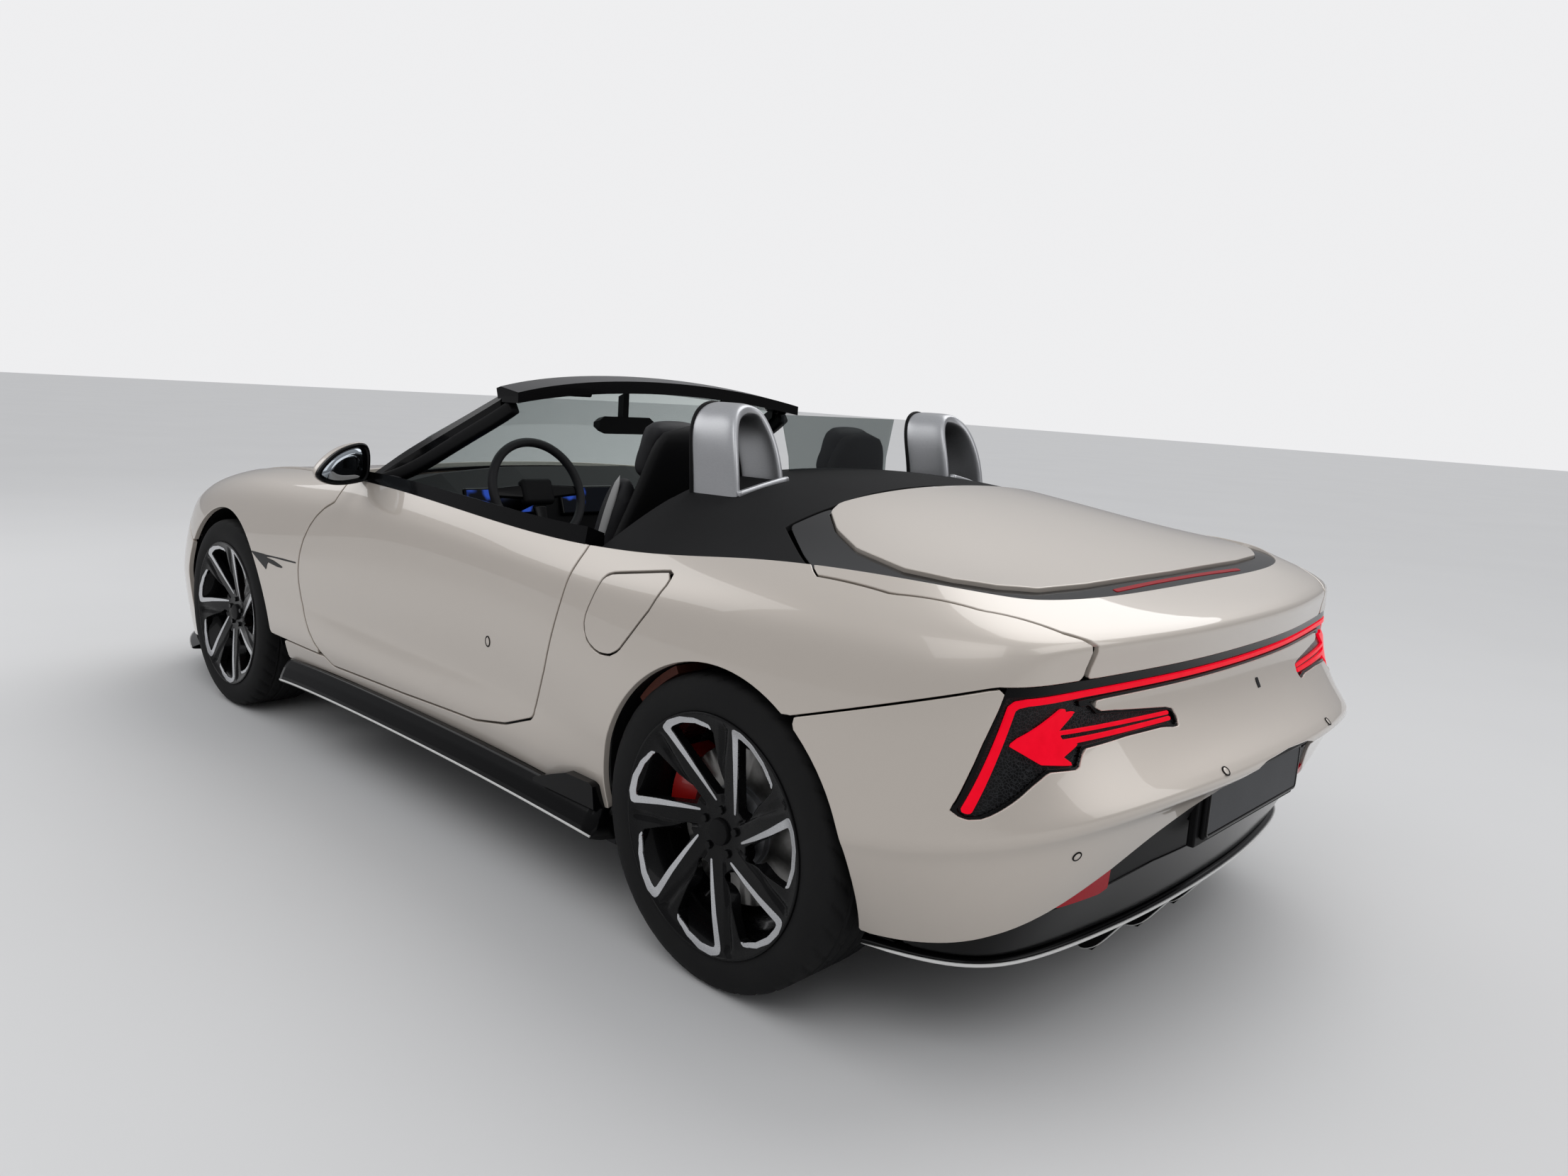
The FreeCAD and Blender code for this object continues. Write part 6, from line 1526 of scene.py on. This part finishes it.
def look_from(position, azimuth, elevation, roll):
    """Camera matrix from a place, the direction of its view and its turn about that."""
    level = math.cos(elevation)
    forward = Vector((level * math.cos(azimuth), level * math.sin(azimuth), math.sin(elevation)))
    right = forward.cross(Vector((0, 0, 1))).normalized()
    up = right.cross(forward)
    across = right * math.cos(roll) + up * math.sin(roll)
    over = up * math.cos(roll) - right * math.sin(roll)
    turn_matrix = Matrix((across, over, -forward)).transposed().to_4x4()
    return Matrix.Translation(position) @ turn_matrix


def build_stage(look):
    """Camera, floor, world and lamps."""
    data = bpy.data.cameras.new("camera")
    data.sensor_width, data.lens = 36.0, look.lens
    data.clip_end = 200.0
    camera = bpy.data.objects.new("camera", data)
    camera.matrix_world = look_from(Vector(look.camera_at), look.azimuth, look.elevation, look.roll)
    bpy.context.scene.collection.objects.link(camera)
    bpy.context.scene.camera = camera

    mesh = bpy.data.meshes.new("floor")
    corners = [(x * FLOOR_HALF, y * FLOOR_HALF, 0) for x, y in ((-1, -1), (1, -1), (1, 1), (-1, 1))]
    mesh.from_pydata(corners, [], [(0, 1, 2, 3)])
    floor = bpy.data.objects.new("floor", mesh)
    bpy.context.scene.collection.objects.link(floor)
    s = Shade("floor", Specular_IOR_Level=0.2)
    s.set(Base_Color=s.tint(s.noise(0.7, 3.0), (0.66, 0.66, 0.66), (0.7, 0.7, 0.7)),
          Roughness=0.7 + s.noise(5.0) * 0.1)
    mesh.materials.append(s.material)

    world = bpy.data.worlds.new("studio")
    world.use_nodes = True
    bpy.context.scene.world = world
    sky = Tree(world.node_tree)
    rise = sky.node("ShaderNodeSeparateXYZ", {}, {0: sky.node("ShaderNodeTexCoord", output="Generated")}, "Z")
    glow = sky.node("ShaderNodeValToRGB", {"stops": ((0.0, (0.26, 0.26, 0.27)), (0.9, (0.62, 0.63, 0.65)))}, {0: rise})
    camera_ray, through_ray = (sky.node("ShaderNodeLightPath", output=f"Is {kind} Ray")
                               for kind in ("Camera", "Transmission"))
    seen = camera_ray.math("MAXIMUM", camera_ray, through_ray)
    back = world.node_tree.nodes["Background"]
    sky.feed(back.inputs["Color"], sky.tint(seen, glow, (0.86, 0.86, 0.87)))
    sky.feed(back.inputs["Strength"], 1.0)

    sun = bpy.data.lights.new("sun", "SUN")
    sun.energy, sun.angle = 1.05 * look.light, math.radians(50)
    lamp = bpy.data.objects.new("sun", sun)
    lamp.rotation_euler = (math.radians(38), math.radians(-14), math.radians(20))
    bpy.context.scene.collection.objects.link(lamp)
    for name, place, aim, size, power in LAMPS:
        light = bpy.data.lights.new(name, "AREA")
        light.shape, light.size, light.size_y = "RECTANGLE", size[0], size[1]
        light.energy = power * look.light
        lamp = bpy.data.objects.new(name, light)
        lamp.location = place
        lamp.rotation_euler = (Vector(aim) - Vector(place)).to_track_quat("-Z", "Y").to_euler()
        bpy.context.scene.collection.objects.link(lamp)


LAMPS = (
    ("key", (-3.0, 4.5, 6.0), (0.0, 0.0, 0.5), (6.0, 4.0), 80.0),
    ("fill", (-6.5, -2.0, 4.0), (-1.0, 0.0, 0.6), (4.0, 3.0), 50.0),
    ("front", (5.0, 3.0, 4.5), (1.0, 0.0, 0.5), (5.0, 3.0), 60.0),
)


class RoadsterLook(bpy.types.PropertyGroup):
    """Sizes and tones that a user may change."""

    cell: bpy.props.FloatProperty(name="Mesh cell", description="Length of a cell of the body panels",
                                  default=0.021, min=0.004, max=0.05, unit="LENGTH")
    paint_tone: bpy.props.FloatVectorProperty(name="Paint", description="Screen colour of the paint, 0 to 255",
                                              default=(203.0, 194.0, 184.0), size=3)
    lens: bpy.props.FloatProperty(name="Lens", description="Focal length of the camera", default=25.92, unit="CAMERA")
    camera_at: bpy.props.FloatVectorProperty(name="Camera", description="Place of the camera",
                                             default=(-3.0742, 2.5328, 1.2951), size=3, subtype="XYZ", unit="LENGTH")
    azimuth: bpy.props.FloatProperty(name="Azimuth", description="Direction of view in plan",
                                     default=math.radians(-47.025), subtype="ANGLE")
    elevation: bpy.props.FloatProperty(name="Elevation", description="Rise of the view",
                                       default=math.radians(-9.777), subtype="ANGLE")
    roll: bpy.props.FloatProperty(name="Roll", description="Turn of the view about its axis",
                                  default=math.radians(3.614), subtype="ANGLE")
    light: bpy.props.FloatProperty(name="Light", description="Factor on the power of the lamps", default=1.0, min=0.0)


class ROADSTER_OT_finishes(bpy.types.Operator):
    """Make the materials and give each node of the frame its own"""

    bl_idname = "roadster.finishes"
    bl_label = "Finishes"

    def execute(self, context):
        make_finishes(context.scene.roadster_look)
        finish_frame()
        return {"FINISHED"}


class ROADSTER_OT_panels(bpy.types.Operator):
    """Cut the painted panels from the body surface"""

    bl_idname = "roadster.panels"
    bl_label = "Body panels"

    def execute(self, context):
        body_sheets(context.scene.roadster_look)
        build_body_panels()
        return {"FINISHED"}


class ROADSTER_OT_lids(bpy.types.Operator):
    """Cut the boot lid, deck cover and bonnet from their surfaces"""

    bl_idname = "roadster.lids"
    bl_label = "Lids and cover"

    def execute(self, context):
        build_lids()
        return {"FINISHED"}


class ROADSTER_OT_wheels(bpy.types.Operator):
    """Build the rims, discs and tyres"""

    bl_idname = "roadster.wheels"
    bl_label = "Wheels"

    def execute(self, context):
        build_wheels()
        return {"FINISHED"}


class ROADSTER_OT_lamps(bpy.types.Operator):
    """Build the tail lamps and the light bar"""

    bl_idname = "roadster.lamps"
    bl_label = "Lamps"

    def execute(self, context):
        build_lamps(context.scene.roadster_look)
        return {"FINISHED"}


class ROADSTER_OT_hoops(bpy.types.Operator):
    """Build the hoops behind the seats"""

    bl_idname = "roadster.hoops"
    bl_label = "Hoops"

    def execute(self, context):
        build_hoops()
        return {"FINISHED"}


class ROADSTER_OT_tail(bpy.types.Operator):
    """Build the diffuser, reflectors, sensors and plate"""

    bl_idname = "roadster.tail"
    bl_label = "Lower tail"

    def execute(self, context):
        build_tail()
        return {"FINISHED"}


class ROADSTER_OT_front(bpy.types.Operator):
    """Build the headlamps, grille and splitter"""

    bl_idname = "roadster.front"
    bl_label = "Front"

    def execute(self, context):
        build_front()
        return {"FINISHED"}


class ROADSTER_OT_flanks(bpy.types.Operator):
    """Build the vents, skirts and arch brackets"""

    bl_idname = "roadster.flanks"
    bl_label = "Flanks"

    def execute(self, context):
        build_flanks()
        return {"FINISHED"}


class ROADSTER_OT_mirrors(bpy.types.Operator):
    """Build the outer mirrors"""

    bl_idname = "roadster.mirrors"
    bl_label = "Mirrors"

    def execute(self, context):
        build_mirrors()
        return {"FINISHED"}


class ROADSTER_OT_seats(bpy.types.Operator):
    """Build the seats and their cushions"""

    bl_idname = "roadster.seats"
    bl_label = "Seats"

    def execute(self, context):
        build_seats()
        return {"FINISHED"}


class ROADSTER_OT_cabin(bpy.types.Operator):
    """Build the steering wheel and the screens"""

    bl_idname = "roadster.cabin"
    bl_label = "Cabin"

    def execute(self, context):
        build_cabin()
        return {"FINISHED"}


class ROADSTER_OT_deck(bpy.types.Operator):
    """Build the brake lamp of the boot lid"""

    bl_idname = "roadster.deck"
    bl_label = "Deck details"

    def execute(self, context):
        build_deck_details()
        return {"FINISHED"}


class ROADSTER_OT_stage(bpy.types.Operator):
    """Add the camera, floor, world and lamps"""

    bl_idname = "roadster.stage"
    bl_label = "Stage"

    def execute(self, context):
        build_stage(context.scene.roadster_look)
        return {"FINISHED"}


STEPS = (
    ROADSTER_OT_finishes, ROADSTER_OT_panels, ROADSTER_OT_lids, ROADSTER_OT_wheels, ROADSTER_OT_lamps,
    ROADSTER_OT_hoops, ROADSTER_OT_tail, ROADSTER_OT_front, ROADSTER_OT_flanks, ROADSTER_OT_mirrors,
    ROADSTER_OT_seats, ROADSTER_OT_cabin, ROADSTER_OT_deck, ROADSTER_OT_stage,
)


class ROADSTER_PT_steps(bpy.types.Panel):
    """Lists the steps of the model and its main values."""

    bl_idname = "ROADSTER_PT_steps"
    bl_label = "Roadster"
    bl_space_type = "VIEW_3D"
    bl_region_type = "UI"
    bl_category = "Roadster"

    def draw(self, context):
        for made in STEPS:
            self.layout.operator(made.bl_idname)
        for key in RoadsterLook.__annotations__:
            self.layout.prop(context.scene.roadster_look, key)


CLASSES = (RoadsterLook,) + STEPS + (ROADSTER_PT_steps,)


def register():
    for cls in CLASSES:
        bpy.utils.register_class(cls)
    bpy.types.Scene.roadster_look = bpy.props.PointerProperty(type=RoadsterLook)


def unregister():
    del bpy.types.Scene.roadster_look
    for cls in reversed(CLASSES):
        bpy.utils.unregister_class(cls)


def main():
    register()
    bpy.context.scene.view_settings.view_transform = "Standard"
    bpy.ops.roadster.finishes()
    bpy.ops.roadster.panels()
    bpy.ops.roadster.lids()
    bpy.ops.roadster.wheels()
    bpy.ops.roadster.lamps()
    bpy.ops.roadster.hoops()
    bpy.ops.roadster.tail()
    bpy.ops.roadster.front()
    bpy.ops.roadster.flanks()
    bpy.ops.roadster.mirrors()
    bpy.ops.roadster.seats()
    bpy.ops.roadster.cabin()
    bpy.ops.roadster.deck()
    bpy.ops.roadster.stage()


if __name__ == "__main__":
    main()
